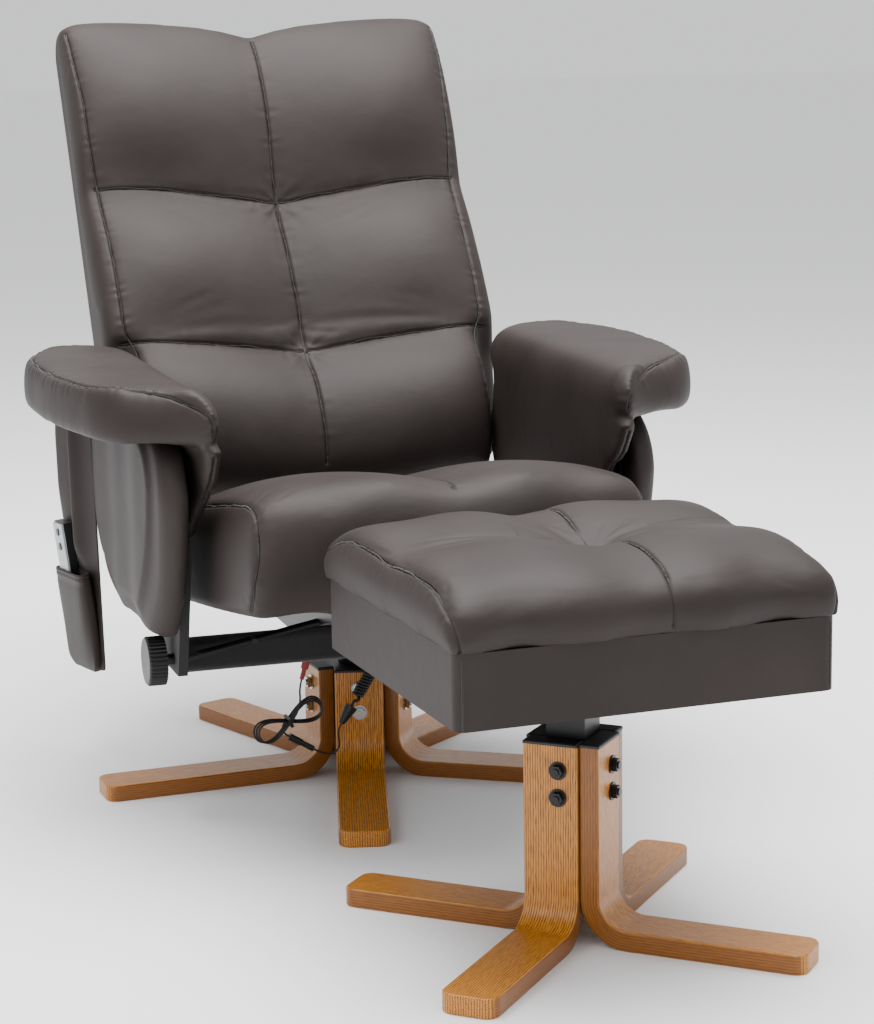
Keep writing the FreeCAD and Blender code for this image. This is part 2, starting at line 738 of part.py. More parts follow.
def back_frame():
    rail_low = BACK_REAR + COVER_THICKNESS + PIECE_GAP
    inside = BACK_RAIL_SPREAD - BACK_RAIL_WIDTH / 2
    rail_top = BACK_RECESS_TOP - PIECE_GAP
    tubes = []
    for side in (-1, 1):
        low = Vector(side * BACK_RAIL_SPREAD - BACK_RAIL_WIDTH / 2, BACK_RAIL_BOTTOM, rail_low)
        size = Vector(BACK_RAIL_WIDTH, rail_top - BACK_RAIL_BOTTOM, BACK_RAIL_HEIGHT)
        tubes.append(tube_bar(low, size, RAIL_WALL, "Y"))
    bar_runs = (BACK_RAIL_BOTTOM + BACK_STRAP_PITCH * BACK_BAR_SHARE, rail_top - 2 * BACK_RAIL_WIDTH)
    for run in bar_runs:
        low = Vector(-inside, run, rail_low)
        size = Vector(2 * inside, BACK_RAIL_WIDTH, BACK_RAIL_HEIGHT)
        tubes.append(tube_bar(low, size, RAIL_WALL, "X"))
    straps = []
    motors = []
    strap_low = rail_low + BACK_RAIL_HEIGHT
    strap_span = 2 * BACK_RAIL_SPREAD + BACK_RAIL_WIDTH
    for index in range(BACK_STRAP_COUNT):
        run = BACK_RAIL_BOTTOM + BACK_STRAP_PITCH * (index + 1)
        low = Vector(-strap_span / 2, run - BACK_STRAP_WIDTH / 2, strap_low)
        straps.append(block(low, Vector(strap_span, BACK_STRAP_WIDTH, STRAP_THICKNESS)))
        if index in (0, 1, 3):
            for side in (-1, 1):
                foot = Vector(side * MOTOR_SPREAD, run, strap_low)
                motors.append(rod(foot, foot - Vector(0, 0, BACK_MOTOR_THICKNESS), MOTOR_RADIUS))
    half = BACK_RECESS_HALF_WIDTH - SOFT_GAP
    low = Vector(-half, BACK_RECESS_BOTTOM, BACK_REAR)
    size = Vector(2 * half, BACK_RECESS_TOP - BACK_RECESS_BOTTOM - SOFT_GAP, COVER_THICKNESS)
    return {
        "back_frame": back_placed(Part.makeCompound(tubes)),
        "back_webbing": back_placed(Part.makeCompound(straps)),
        "massage_motors_back": back_placed(Part.makeCompound(motors)),
        "back_rear_cover": back_placed(block(low, size)),
    }


# Arms
# An outline edge is a start, a point on its arc and an end; None in the middle makes it straight.

PAD_OUTLINE_SHARES = (
    ((0.0, 0.105), (0.015, 0.06), (0.06, 0.035)),
    ((0.06, 0.035), (0.27, 0.085), (0.485, 0.118)),
    ((0.485, 0.118), (0.69, 0.165), (0.835, 0.262)),
    ((0.835, 0.262), (0.945, 0.42), (0.985, 0.6)),
    ((0.985, 0.6), (0.965, 0.78), (0.795, 0.928)),
    ((0.795, 0.928), (0.636, 0.983), (0.398, 1.0)),
    ((0.398, 1.0), (0.15, 0.975), (0.0, 0.905)),
    ((0.0, 0.905), None, (0.0, 0.105)),
)
PAD_CENTRE_SHARE = (0.85, 0.56)
PAD_LEVEL_SHARES = (
    (0.0, 0.97, 0.95),
    (0.14, 1.0, 1.0),
    (0.6, 1.0, 1.0),
    (0.88, 0.93, 0.95),
    (1.0, 0.79, 0.8),
)

LEAF_OUTLINE_SHARES = (
    ((0.2, 1.0), (0.04, 0.9), (0.0, 0.72)),
    ((0.0, 0.72), (0.06, 0.33), (0.19, 0.0)),
    ((0.19, 0.0), None, (0.52, 0.0)),
    ((0.52, 0.0), (0.9, 0.2), (1.0, 0.52)),
    ((1.0, 0.52), (1.005, 0.78), (0.95, 1.0)),
    ((0.95, 1.0), None, (0.2, 1.0)),
)
LEAF_LEVEL_SHARES = (
    (0.0, 0.97, 0.97),
    (0.12, 1.0, 1.0),
    (0.45, 1.0, 1.0),
    (0.8, 0.9, 0.97),
    (1.0, 0.76, 0.86),
)

INNER_OUTLINE_SHARES = (
    ((0.0, 1.0), (0.05, 0.76), (0.1, 0.64)),
    ((0.1, 0.64), None, (0.33, 0.17)),
    ((0.33, 0.17), (0.36, 0.13), (0.41, 0.12)),
    ((0.41, 0.12), None, (0.92, 0.0)),
    ((0.92, 0.0), (1.0, 0.5), (0.99, 1.0)),
    ((0.99, 1.0), None, (0.0, 1.0)),
)
INNER_LEVEL_SHARES = ((0.0, 0.97, 0.97), (0.2, 1.0, 1.0), (0.8, 1.0, 1.0), (1.0, 0.97, 0.97))
PANEL_CENTRE_SHARE = (0.5, 1.0)
FRAME_OUTLINE_SHARES = ((0.08, 1.0), (0.0, 0.5), (0.13, 0.0), (0.33, 0.0), (0.9, 0.55), (1.0, 1.0))


def outline_wire(outline, place, centre, scales):
    edges = []
    for start, middle, end in outline:
        points = []
        for corner in (start, middle, end):
            if corner is None:
                continue
            wide = centre[0] + (corner[0] - centre[0]) * scales[0]
            long = centre[1] + (corner[1] - centre[1]) * scales[1]
            points.append(place(wide, long))
        edges.append(arc(*points) if middle else line(*points))
    return Part.Wire(edges)


def arm_pad():
    wires = []
    for level, width_scale, length_scale in PAD_LEVEL_SHARES:

        def place(wide, long):
            return Vector(
                ARM_INNER_FACE + ARM_WING * wide,
                ARM_FRONT + ARM_LENGTH * long,
                ARM_PAD_BOTTOM + ARM_PAD_HEIGHT * level,
            )

        scales = (width_scale, length_scale)
        wires.append(outline_wire(PAD_OUTLINE_SHARES, place, PAD_CENTRE_SHARE, scales))
    pad = Part.makeLoft(wires, True, False)
    low = Vector(0, ARM_FRONT - OVERRUN, ARM_PAD_BOTTOM - OVERRUN)
    return pad.cut(block(low, Vector(3 * ARM_WING, ARM_LENGTH + 2 * OVERRUN, OVERRUN)))


def side_panel(outline, levels, x_start, thickness, front, length, height):
    bottom = ARM_PAD_BOTTOM - 2 * SOFT_GAP - height
    wires = []
    for level, *scales in levels:

        def place(long, high):
            return Vector(x_start + thickness * level, front + length * long, bottom + height * high)

        wires.append(outline_wire(outline, place, PANEL_CENTRE_SHARE, scales))
    low = Vector(0, ARM_FRONT - OVERRUN, ARM_PAD_BOTTOM - SOFT_GAP)
    above = block(low, Vector(3 * ARM_WING, ARM_LENGTH + 2 * OVERRUN, OVERRUN))
    return Part.makeLoft(wires, True, False).cut(above)


def arms():
    frame_x = ARM_INNER_FACE + ARM_INNER_THICKNESS + PIECE_GAP
    inner = side_panel(
        INNER_OUTLINE_SHARES,
        INNER_LEVEL_SHARES,
        ARM_INNER_FACE,
        ARM_INNER_THICKNESS,
        INNER_PANEL_FRONT,
        INNER_PANEL_LENGTH,
        INNER_PANEL_HEIGHT,
    )
    leaf = side_panel(
        LEAF_OUTLINE_SHARES,
        LEAF_LEVEL_SHARES,
        frame_x + ARM_FRAME_THICKNESS + PIECE_GAP,
        ARM_OUTER_THICKNESS,
        LEAF_FRONT,
        LEAF_LENGTH,
        LEAF_HEIGHT,
    )
    height = ARM_PAD_BOTTOM - 2 * SOFT_GAP - ARM_FRAME_BOTTOM
    corners = []
    for long, high in FRAME_OUTLINE_SHARES:
        y = ARM_FRAME_FRONT + ARM_FRAME_LENGTH * long
        corners.append(Vector(frame_x, y, ARM_FRAME_BOTTOM + height * high))
    left = polygon_face(corners).extrude(Vector(ARM_FRAME_THICKNESS, 0, 0))
    bearing = Vector(-frame_x, KNOB_Y, KNOB_Z)
    reach = Vector(OVERRUN, 0, 0)
    hole = rod(bearing - reach, bearing + reach, KNOB_STUB_RADIUS + RUNNING_GAP)
    pad = arm_pad()
    return {
        "arm_pad_left": pad,
        "arm_pad_right": mirrored(pad),
        "arm_inner_panel_left": inner,
        "arm_inner_panel_right": mirrored(inner),
        "arm_outer_panel_left": leaf,
        "arm_outer_panel_right": mirrored(leaf),
        "arm_frames": Part.makeCompound([left, mirrored(left).cut(hole)]),
    }


# Recline knob and rods


def recline_knob():
    centre = Vector(KNOB_OUTER_X, KNOB_Y, KNOB_Z)
    inward = Vector(1, 0, 0)
    points = []
    for index in range(KNOB_RIBS * 4):
        turn = 2 * math.pi * index / (KNOB_RIBS * 4)
        radius = KNOB_RADIUS if index % 4 < 2 else KNOB_RADIUS - KNOB_RIB_DEPTH
        points.append(centre + Vector(0, radius * math.cos(turn), radius * math.sin(turn)))
    disc = polygon_face(points).extrude(inward * KNOB_THICKNESS)
    dome = Part.makeCone(
        KNOB_RADIUS - 3 * KNOB_RIB_DEPTH,
        KNOB_RADIUS + KNOB_THICKNESS,
        KNOB_THICKNESS + 4 * KNOB_RIB_DEPTH,
        centre - inward * KNOB_RIB_DEPTH,
        inward,
    )
    disc = disc.common(dome)
    inner_face = -(ARM_INNER_FACE + ARM_INNER_THICKNESS + PIECE_GAP)
    stub = rod(centre + inward * (KNOB_THICKNESS / 2), Vector(inner_face, KNOB_Y, KNOB_Z), KNOB_STUB_RADIUS)
    return joined([disc, stub])


def recline_rods():
    """Two parallel rods from the arm's foot up into the mechanism's side, with a cross screw."""
    side = -(ARM_INNER_FACE + ARM_INNER_THICKNESS) + ROD_RADIUS / 2
    start = Vector(side, KNOB_Y - ROD_SPACING / 2, KNOB_Z)
    end = Vector(-(MECHANISM_WIDTH - MECHANISM_WALL) / 2, start.y, KNOB_Z + ROD_RISE)
    offset = Vector(0, ROD_SPACING, 0)
    middle = (start + end) / 2
    proud = Vector(0, SCREW_RADIUS, 0)
    screw = rod(middle - proud * 2, middle + offset + proud, SCREW_RADIUS)
    return joined([rod(start, end, ROD_RADIUS), rod(start + offset, end + offset, ROD_RADIUS), screw])


# Side pocket and handset
# Both are built upright around the pocket's mouth, with the strap above, then leaned, skewed and turned.


def pocket_placed(shape, leaned=True):
    copy = shape.copy()
    hang = Vector(0, 0, 0)
    if leaned:
        copy.rotate(hang, Vector(0, 1, 0), -POCKET_LEAN)
    copy.rotate(hang, Vector(1, 0, 0), -POCKET_SKEW)
    copy.rotate(hang, Vector(0, 0, 1), POCKET_TURN)
    copy.translate(Vector(POCKET_X, POCKET_Y, ARM_PAD_BOTTOM - SOFT_GAP - POCKET_DROP))
    return copy


def side_pocket():
    def ring(height, thickness, inset):
        half = POCKET_WIDTH / 2 - inset
        corners = [
            Vector(-inset, -half, height),
            Vector(inset - thickness, -half, height),
            Vector(inset - thickness, half, height),
            Vector(-inset, half, height),
        ]
        return Part.makePolygon(corners + [corners[0]])

    foot = ring(-POCKET_DEPTH, POCKET_FOOT_THICKNESS, 0)
    outer = Part.makeLoft([ring(0, POCKET_THICKNESS, 0), foot], True, True)
    inner = Part.makeLoft(
        [
            ring(OVERRUN, POCKET_THICKNESS, POCKET_SKIN),
            ring(0, POCKET_THICKNESS, POCKET_SKIN),
            ring(-POCKET_DEPTH + POCKET_SKIN, POCKET_FOOT_THICKNESS, POCKET_SKIN),
        ],
        True,
        True,
    )
    pouch = pocket_placed(outer.cut(inner))
    low = Vector(-POCKET_SKIN, POCKET_STRAP_FRONT, -POCKET_SKIN)
    strap = block(low, Vector(POCKET_SKIN, POCKET_STRAP_WIDTH, POCKET_DROP + OVERRUN))
    corner = Vector(POCKET_X, POCKET_Y, ARM_PAD_BOTTOM - SOFT_GAP)
    spread = Vector(POCKET_DROP, POCKET_DROP, 0)
    above = block(corner - spread, spread * 2 + Vector(0, 0, POCKET_DROP))
    return joined([pouch, pocket_placed(strap, leaned=False).cut(above)])


def handset():
    """The controller stands in the pocket; its buttons sit in wells of the face plate."""
    far = -POCKET_SKIN - SOFT_GAP
    inward = Vector(1, 0, 0)
    low = Vector(far - HANDSET_THICKNESS, HANDSET_OFFSET - HANDSET_WIDTH / 2, HANDSET_OUT - HANDSET_LENGTH)
    body = block(low, Vector(HANDSET_THICKNESS, HANDSET_WIDTH, HANDSET_LENGTH))
    body = body.makeFillet(HANDSET_FACE_THICKNESS, [e for e in body.Edges if e.BoundBox.XLength > 0])
    rim = Vector(0, HANDSET_RIM, HANDSET_RIM)
    size = Vector(HANDSET_FACE_THICKNESS, HANDSET_WIDTH, HANDSET_LENGTH) - rim * 2
    face = block(low + rim - inward * HANDSET_FACE_THICKNESS, size)
    face = face.makeFillet(HANDSET_FACE_THICKNESS, [e for e in face.Edges if e.BoundBox.XLength > 0])
    nodes = {}
    for name, drop in zip(("handset_button_power", "handset_button_mode"), BUTTON_DROPS):
        surface = low.x - HANDSET_FACE_THICKNESS
        middle = Vector(surface, HANDSET_OFFSET, HANDSET_OUT - drop)
        well = rod(middle - inward * OVERRUN, middle + inward * OVERRUN, BUTTON_RADIUS + PIECE_GAP)
        face = face.cut(well)
        foot = middle + inward * (HANDSET_FACE_THICKNESS - BUTTON_TRAVEL - PIECE_GAP)
        nodes[name] = pocket_placed(rod(middle - inward * BUTTON_STAND, foot, BUTTON_RADIUS))
    nodes["handset_body"] = pocket_placed(body)
    nodes["handset_face"] = pocket_placed(face)
    return nodes


# Footstool


LID_CORNER_SHARES = (
    ((0.01, -0.2), (0.01, -0.2), 1.0, 0.0),
    ((0.0, 0.6), (0.0, 0.6), 1.0, 0.04),
    ((0.5, 0.66), (0.5, 0.78), 1.0, 0.1),
    ((1.0, 0.6), (1.0, 0.6), 1.0, 0.04),
    ((0.99, -0.2), (0.99, -0.2), 1.0, 0.0),
)
LID_SIDE_SHARES = (
    ((-1.0, 0.0), 0.04, 0.02),
    ((0.0, 1.0), 0.2, 0.12),
    ((0.0, 1.0), 0.2, 0.12),
    ((1.0, 0.0), 0.04, 0.02),
    ((0.0, -1.0), 0.0, 0.0),
)


def stool_placed(shape):
    copy = shape.copy()
    copy.rotate(Vector(0, 0, 0), Vector(0, 0, 1), STOOL_TURN)
    depth = STOOL_BOX_DEPTH / 2
    copy.translate(Vector(STOOL_X, SEAT_FRONT - STOOL_NEAR - depth, 0))
    return copy


def lid_bottom():
    return STOOL_BOX_BOTTOM + STOOL_BOX_HEIGHT + 2 * HINGE_LEAF_THICKNESS + PIECE_GAP


def lid_cushion():
    half_width = STOOL_BOX_WIDTH / 2 + LID_OVERHANG
    depth = STOOL_BOX_DEPTH + 2 * LID_OVERHANG
    bottom = STOOL_BOX_BOTTOM + STOOL_BOX_HEIGHT + SOFT_GAP

    def place(across, run, rise):
        return Vector(across, run - depth / 2, bottom + rise)

    size = (half_width, depth, LID_HEIGHT)
    cushion = quilted_cushion(LID_CORNER_SHARES, LID_SIDE_SHARES, ACROSS_SHARES, size, place)
    under = block(
        Vector(-2 * half_width, -depth, bottom - LID_HEIGHT),
        Vector(4 * half_width, 2 * depth, LID_HEIGHT),
    )
    inner = half_width - LID_WALL
    board_top = lid_bottom() + LID_BOARD + SOFT_GAP
    seat_low = Vector(-inner, LID_WALL - depth / 2, bottom - OVERRUN)
    well = block(seat_low, Vector(2 * inner, depth - 2 * LID_WALL, board_top - seat_low.z))
    notch_top = lid_bottom() + HINGE_RADIUS + SOFT_GAP
    notches = []
    for centre in (-HINGE_SPREAD, HINGE_SPREAD):
        low = Vector(inner - SOFT_GAP, centre - HINGE_LENGTH / 2 - SOFT_GAP, bottom - OVERRUN)
        size = Vector(2 * LID_WALL + OVERRUN, HINGE_LENGTH + 2 * SOFT_GAP, notch_top - low.z)
        notches.append(block(low, size))
    return cushion.cut([under, well] + notches)


def stool_lid_board():
    half_width = STOOL_BOX_WIDTH / 2 + LID_OVERHANG - LID_WALL - SOFT_GAP
    half_depth = STOOL_BOX_DEPTH / 2 + LID_OVERHANG - LID_WALL - SOFT_GAP
    low = Vector(-half_width, -half_depth, lid_bottom())
    return block(low, Vector(2 * half_width, 2 * half_depth, LID_BOARD))


def stool_box():
    half_x = STOOL_BOX_WIDTH / 2
    half_y = STOOL_BOX_DEPTH / 2
    size = Vector(STOOL_BOX_WIDTH, STOOL_BOX_DEPTH, STOOL_BOX_HEIGHT)
    outer = block(Vector(-half_x, -half_y, STOOL_BOX_BOTTOM), size)
    corners = [e for e in outer.Edges if e.BoundBox.ZLength > STOOL_BOX_HEIGHT / 2]
    outer = outer.makeFillet(STOOL_BOX_CORNER, corners)
    wall = Vector(STOOL_BOX_WALL, STOOL_BOX_WALL, 0)
    floor = Vector(0, 0, STOOL_BOX_FLOOR)
    return outer.cut(block(Vector(-half_x, -half_y, STOOL_BOX_BOTTOM) + wall + floor, size - wall * 2))


def stool_hinges():
    """Flat leaves on the box rim and under the lid board, folded about a pin beyond the rim."""
    rim = STOOL_BOX_BOTTOM + STOOL_BOX_HEIGHT
    leaf_top = rim + HINGE_LEAF_THICKNESS
    axis_x = STOOL_BOX_WIDTH / 2 + HINGE_OUT
    axis_z = leaf_top + PIECE_GAP / 2
    reach = HINGE_OUT + HINGE_LEAF
    knuckle = HINGE_LENGTH / 3
    box_leaves = []
    lid_leaves = []
    for centre in (-HINGE_SPREAD, HINGE_SPREAD):
        start = centre - HINGE_LENGTH / 2

        def pin(first, last, radius):
            return rod(Vector(axis_x, first, axis_z), Vector(axis_x, last, axis_z), radius)

        end = start + HINGE_LENGTH
        flat = block(Vector(axis_x - reach, start, rim), Vector(reach, HINGE_LENGTH, HINGE_LEAF_THICKNESS))
        gap = block(
            Vector(axis_x - HINGE_RADIUS - PIECE_GAP, start + knuckle - PIECE_GAP, rim - HINGE_RADIUS),
            Vector(OVERRUN, knuckle + 2 * PIECE_GAP, OVERRUN),
        )
        body = joined([flat, pin(start, end, HINGE_RADIUS)]).cut(gap)
        box_leaves.append(joined([body, pin(start, end, HINGE_RADIUS / 2)]))
        low = Vector(axis_x - reach, start, leaf_top + PIECE_GAP)
        clear = HINGE_RADIUS + 2 * PIECE_GAP
        flat = block(low, Vector(reach - clear, HINGE_LENGTH, HINGE_LEAF_THICKNESS))
        tongue = block(
            Vector(axis_x - reach / 2, start + knuckle, leaf_top + PIECE_GAP),
            Vector(reach / 2, knuckle, HINGE_LEAF_THICKNESS),
        )
        leaf = joined([flat, tongue, pin(start + knuckle, start + 2 * knuckle, HINGE_RADIUS)])
        lid_leaves.append(leaf.cut(pin(start - knuckle, end + knuckle, HINGE_RADIUS / 2 + RUNNING_GAP)))
    return box_leaves, lid_leaves


def footstool():
    inner = STOOL_TUBE / 2 + PIECE_GAP
    shift = STOOL_TUBE / 2 - STOOL_LEG_WIDTH / 2 - PIECE_GAP
    board = bent_leg(
        STOOL_LEG_WIDTH,
        STOOL_LEG_THICKNESS,
        STOOL_LEG_TOP,
        STOOL_LEG_BEND,
        STOOL_LEG_REACH,
        inner,
        shift,
    )
    board = leg_holes(board, inner, STOOL_LEG_THICKNESS, STOOL_BOLT_HEIGHTS)
    cap_width = STOOL_LEG_WIDTH - 2 * CAP_OVERHANG - PIECE_GAP
    cap = leg_cap(inner, STOOL_LEG_THICKNESS, cap_width, STOOL_LEG_TOP, shift)
    outer = inner + STOOL_LEG_THICKNESS
    fasteners = leg_fasteners(outer, inner, STOOL_BOLT_HEIGHTS, STOOL_TUBE_WALL * 3)
    nodes = {}
    caps = []
    bolts = []
    for index in range(STOOL_LEG_COUNT):
        angle = STOOL_LEG_START + 360.0 / STOOL_LEG_COUNT * index
        nodes["stool_leg_%d" % (index + 1)] = stool_placed(turned(board, angle))
        caps.append(turned(cap, angle))
        bolts += [turned(bolt, angle) for bolt in fasteners]
    nodes["stool_leg_caps"] = stool_placed(Part.makeCompound(caps))
    nodes["stool_leg_bolts"] = stool_placed(Part.makeCompound(bolts))
    half = STOOL_TUBE / 2
    hollow = half - STOOL_TUBE_WALL
    foot = STOOL_LEG_BEND + STOOL_TUBE_WALL
    top = STOOL_BOX_BOTTOM - STOOL_PLATE
    tube = block(Vector(-half, -half, foot), Vector(STOOL_TUBE, STOOL_TUBE, top - foot))
    low = Vector(-hollow, -hollow, foot - OVERRUN)
    tube = tube.cut(block(low, Vector(2 * hollow, 2 * hollow, top - low.z)))
    for z in STOOL_BOLT_HEIGHTS:
        hole = rod(Vector(-OVERRUN, 0, z), Vector(OVERRUN, 0, z), STUD_RADIUS + HOLE_GAP)
        tube = tube.cut([hole, turned(hole, 360.0 / STOOL_LEG_COUNT)])
    plate_half = STOOL_PLATE_SIZE / 2
    plate_size = Vector(STOOL_PLATE_SIZE, STOOL_PLATE_SIZE, STOOL_PLATE)
    plate = block(Vector(-plate_half, -plate_half, top), plate_size)
    nodes["stool_column"] = stool_placed(joined([turned(tube, STOOL_LEG_START), plate]))
    nodes["stool_box"] = stool_placed(stool_box())
    cover_x = STOOL_BOX_WIDTH / 2 - STOOL_BOX_WALL
    cover_y = STOOL_BOX_DEPTH / 2 - STOOL_BOX_WALL
    cover_low = Vector(-cover_x, -cover_y, STOOL_BOX_BOTTOM - DUST_COVER)
    cover = block(cover_low, Vector(2 * cover_x, 2 * cover_y, DUST_COVER))
    clear = Vector(plate_half + PIECE_GAP, plate_half + PIECE_GAP, OVERRUN)
    opening = block(Vector(0, 0, top) - clear, clear * 2)
    nodes["stool_dust_cover"] = stool_placed(cover.cut(opening))
    box_leaves, lid_leaves = stool_hinges()
    nodes["stool_hinges"] = stool_placed(Part.makeCompound(box_leaves))
    nodes["stool_lid_hinge_leaves"] = stool_placed(Part.makeCompound(lid_leaves))
    nodes["stool_lid_board"] = stool_placed(stool_lid_board())
    nodes["stool_lid_cushion"] = stool_placed(lid_cushion())
    return nodes


# Leads


def biarcs(points, tangents):
    """Two tangent arcs from each point to the next, as edges of one smooth path."""
    edges = []
    for index in range(len(points) - 1):
        first, last = points[index], points[index + 1]
        out, back = tangents[index], tangents[index + 1]
        span = last - first
        both = out + back
        spare = 2 * (1 - out.dot(back))
        along = span.dot(both)
        if spare < TANGENT_LIMIT:
            reach = span.dot(span) / (2 * along)
        else:
            reach = (math.sqrt(along * along + spare * span.dot(span)) - along) / spare
        middle = (first + last + (out - back) * reach) / 2
        edges.append(tangent_edge(first, out, middle))
        edges.append(tangent_edge(last, back * -1, middle, True))
    return edges


def tangent_edge(start, direction, end, reverse=False):
    chord = end - start
    length = chord.Length
    along = chord * (1 / length)
    side = direction - along * direction.dot(along)
    if side.Length < TANGENT_LIMIT:
        return line(end, start) if reverse else line(start, end)
    half_angle = math.atan2(side.Length, direction.dot(along)) / 2
    middle = start + chord / 2 + side.normalize() * (length / 2 * math.tan(half_angle))
    return arc(end, middle, start) if reverse else arc(start, middle, end)


def tube(edges, start, direction, radius):
    path = Part.Wire(edges)
    ring = Part.Wire(Part.Circle(start, direction, radius).toShape())
    return path.makePipeShell([ring], True, False)


def rounded_path(points):
    """Straight runs joined by tangent arcs; returns the edges, their length and the radii."""
    edges = []
    radii = []
    length = 0
    start = points[0]
    for index in range(1, len(points) - 1):
        before = points[index] - points[index - 1]
        after = points[index + 1] - points[index]
        half_turn = before.getAngle(after) / 2
        cut = ARC_SHARE * min(before.Length, after.Length)
        radius = cut / math.tan(half_turn)
        incoming = points[index] - before.normalize() * cut
        outgoing = points[index] + after.normalize() * cut
        bisector = (outgoing + incoming) / 2 - points[index]
        corner = points[index] + bisector.normalize() * (radius / math.cos(half_turn) - radius)
        length += start.distanceToPoint(incoming) + 2 * radius * half_turn
        edges.append(line(start, incoming))
        edges.append(arc(incoming, corner, outgoing))
        radii.append(round(radius, 1))
        start = outgoing
    edges.append(line(start, points[-1]))
    return edges, length + start.distanceToPoint(points[-1]), radii


def free_lead(name, points):
    edges, length, radii = rounded_path(points)
    radius = LEAD_DIAMETER / 2
    lead = tube(edges, points[0], points[1] - points[0], radius)
    share = lead.Volume / (math.pi * radius * radius * length)
    print(name, "length", round(length, 1), "radii", radii)
    print(name, "volume over section by length", round(share, 4))
    return lead


def wound(name, at, start, end, steps, tail, radius):
    """Tube along a winding curve, with a straight tail at each end and its least gap to itself."""
    points = []
    tangents = []
    tiny = (end - start) / steps * STEP_SHARE
    for index in range(steps + 1):
        turn = start + (end - start) * index / steps
        points.append(at(turn))
        tangents.append((at(turn + tiny) - at(turn - tiny)).normalize())
    edges = [line(points[0] - tangents[0] * tail, points[0])]
    edges += biarcs(points, tangents)
    edges.append(line(points[-1], points[-1] + tangents[-1] * tail))
    fine = [at(start + (end - start) * index / (steps * 4)) for index in range(steps * 4 + 1)]
    near = int(steps * 4 / (abs(end - start) / math.pi) / 2)
    least = min(
        fine[i].distanceToPoint(fine[j])
        for i in range(len(fine))
        for j in range(i + near, len(fine))
    )
    print(name, "least gap to itself", round(least - 2 * radius, 2))
    return tube(edges, points[0] - tangents[0] * tail, tangents[0], radius), points, tangents


def socket_point():
    x = -MECHANISM_WIDTH / 2 + SOCKET_RADIUS
    return Vector(x, -MECHANISM_FRONT + 3 * SOCKET_RADIUS, MECHANISM_BOTTOM)


def plug_direction():
    return Vector(-PLUG_LEAN, 0, -1).normalize()


def lead_socket():
    start = socket_point() - plug_direction() * MECHANISM_WALL
    return rod(start, socket_point() + plug_direction() * SOCKET_LENGTH, SOCKET_RADIUS)


def curl_direction():
    return Vector(-CURL_LEAN, 0, -1).normalize()


def gland_end():
    return Vector(POST_RADIUS, socket_point().y, MECHANISM_BOTTOM) + curl_direction() * GLAND_LENGTH


def curl_gland():
    return rod(gland_end() - curl_direction() * (GLAND_LENGTH + MECHANISM_WALL), gland_end(), GLAND_RADIUS)


def hank_point(turn):
    """Flat figure of eight, one loop behind the other, each a little longer than the last."""
    slope = math.radians(HANK_SLOPE)
    along = Vector(math.cos(slope), 0, math.sin(slope))
    above = Vector(-math.sin(slope), 0, math.cos(slope))
    share = (turn - math.pi / 2) / (2 * math.pi * HANK_TURNS)
    growth = 1 + HANK_GROWTH * (share - 1)
    depth = HANK_PITCH * HANK_TURNS * (share - 0.5)
    centre = Vector(HANK_X, socket_point().y + depth, HANK_Z)
    swing = above * (HANK_LOBE * growth * math.sin(2 * turn))
    return centre + along * (HANK_REACH * growth * math.cos(turn)) + swing


def curl_point(turn):
    """Coil about the line from the gland to the boot, opening from the axis and closing on it."""
    whole = 2 * math.pi * CURL_COUNT
    opening = OPENING_TURN
    inner = CURL_LENGTH - 2 * (CURL_TAIL + CURL_LEAD_IN)
    low = min(max((turn + opening) / opening, 0.0), 1.0)
    high = min(max((whole + opening - turn) / opening, 0.0), 1.0)
    radius = CURL_RADIUS * ease(low) * ease(high)
    middle = min(max(turn, 0.0), whole) / whole * inner
    distance = CURL_TAIL + CURL_LEAD_IN * (low + 1 - high) + middle
    down = curl_direction()
    across = Vector(0, 1, 0)
    beside = down.cross(across)
    centre = gland_end() + down * distance
    return centre + across * (radius * math.cos(turn)) + beside * (radius * math.sin(turn))


def ease(share):
    return share * share * (3 - 2 * share)


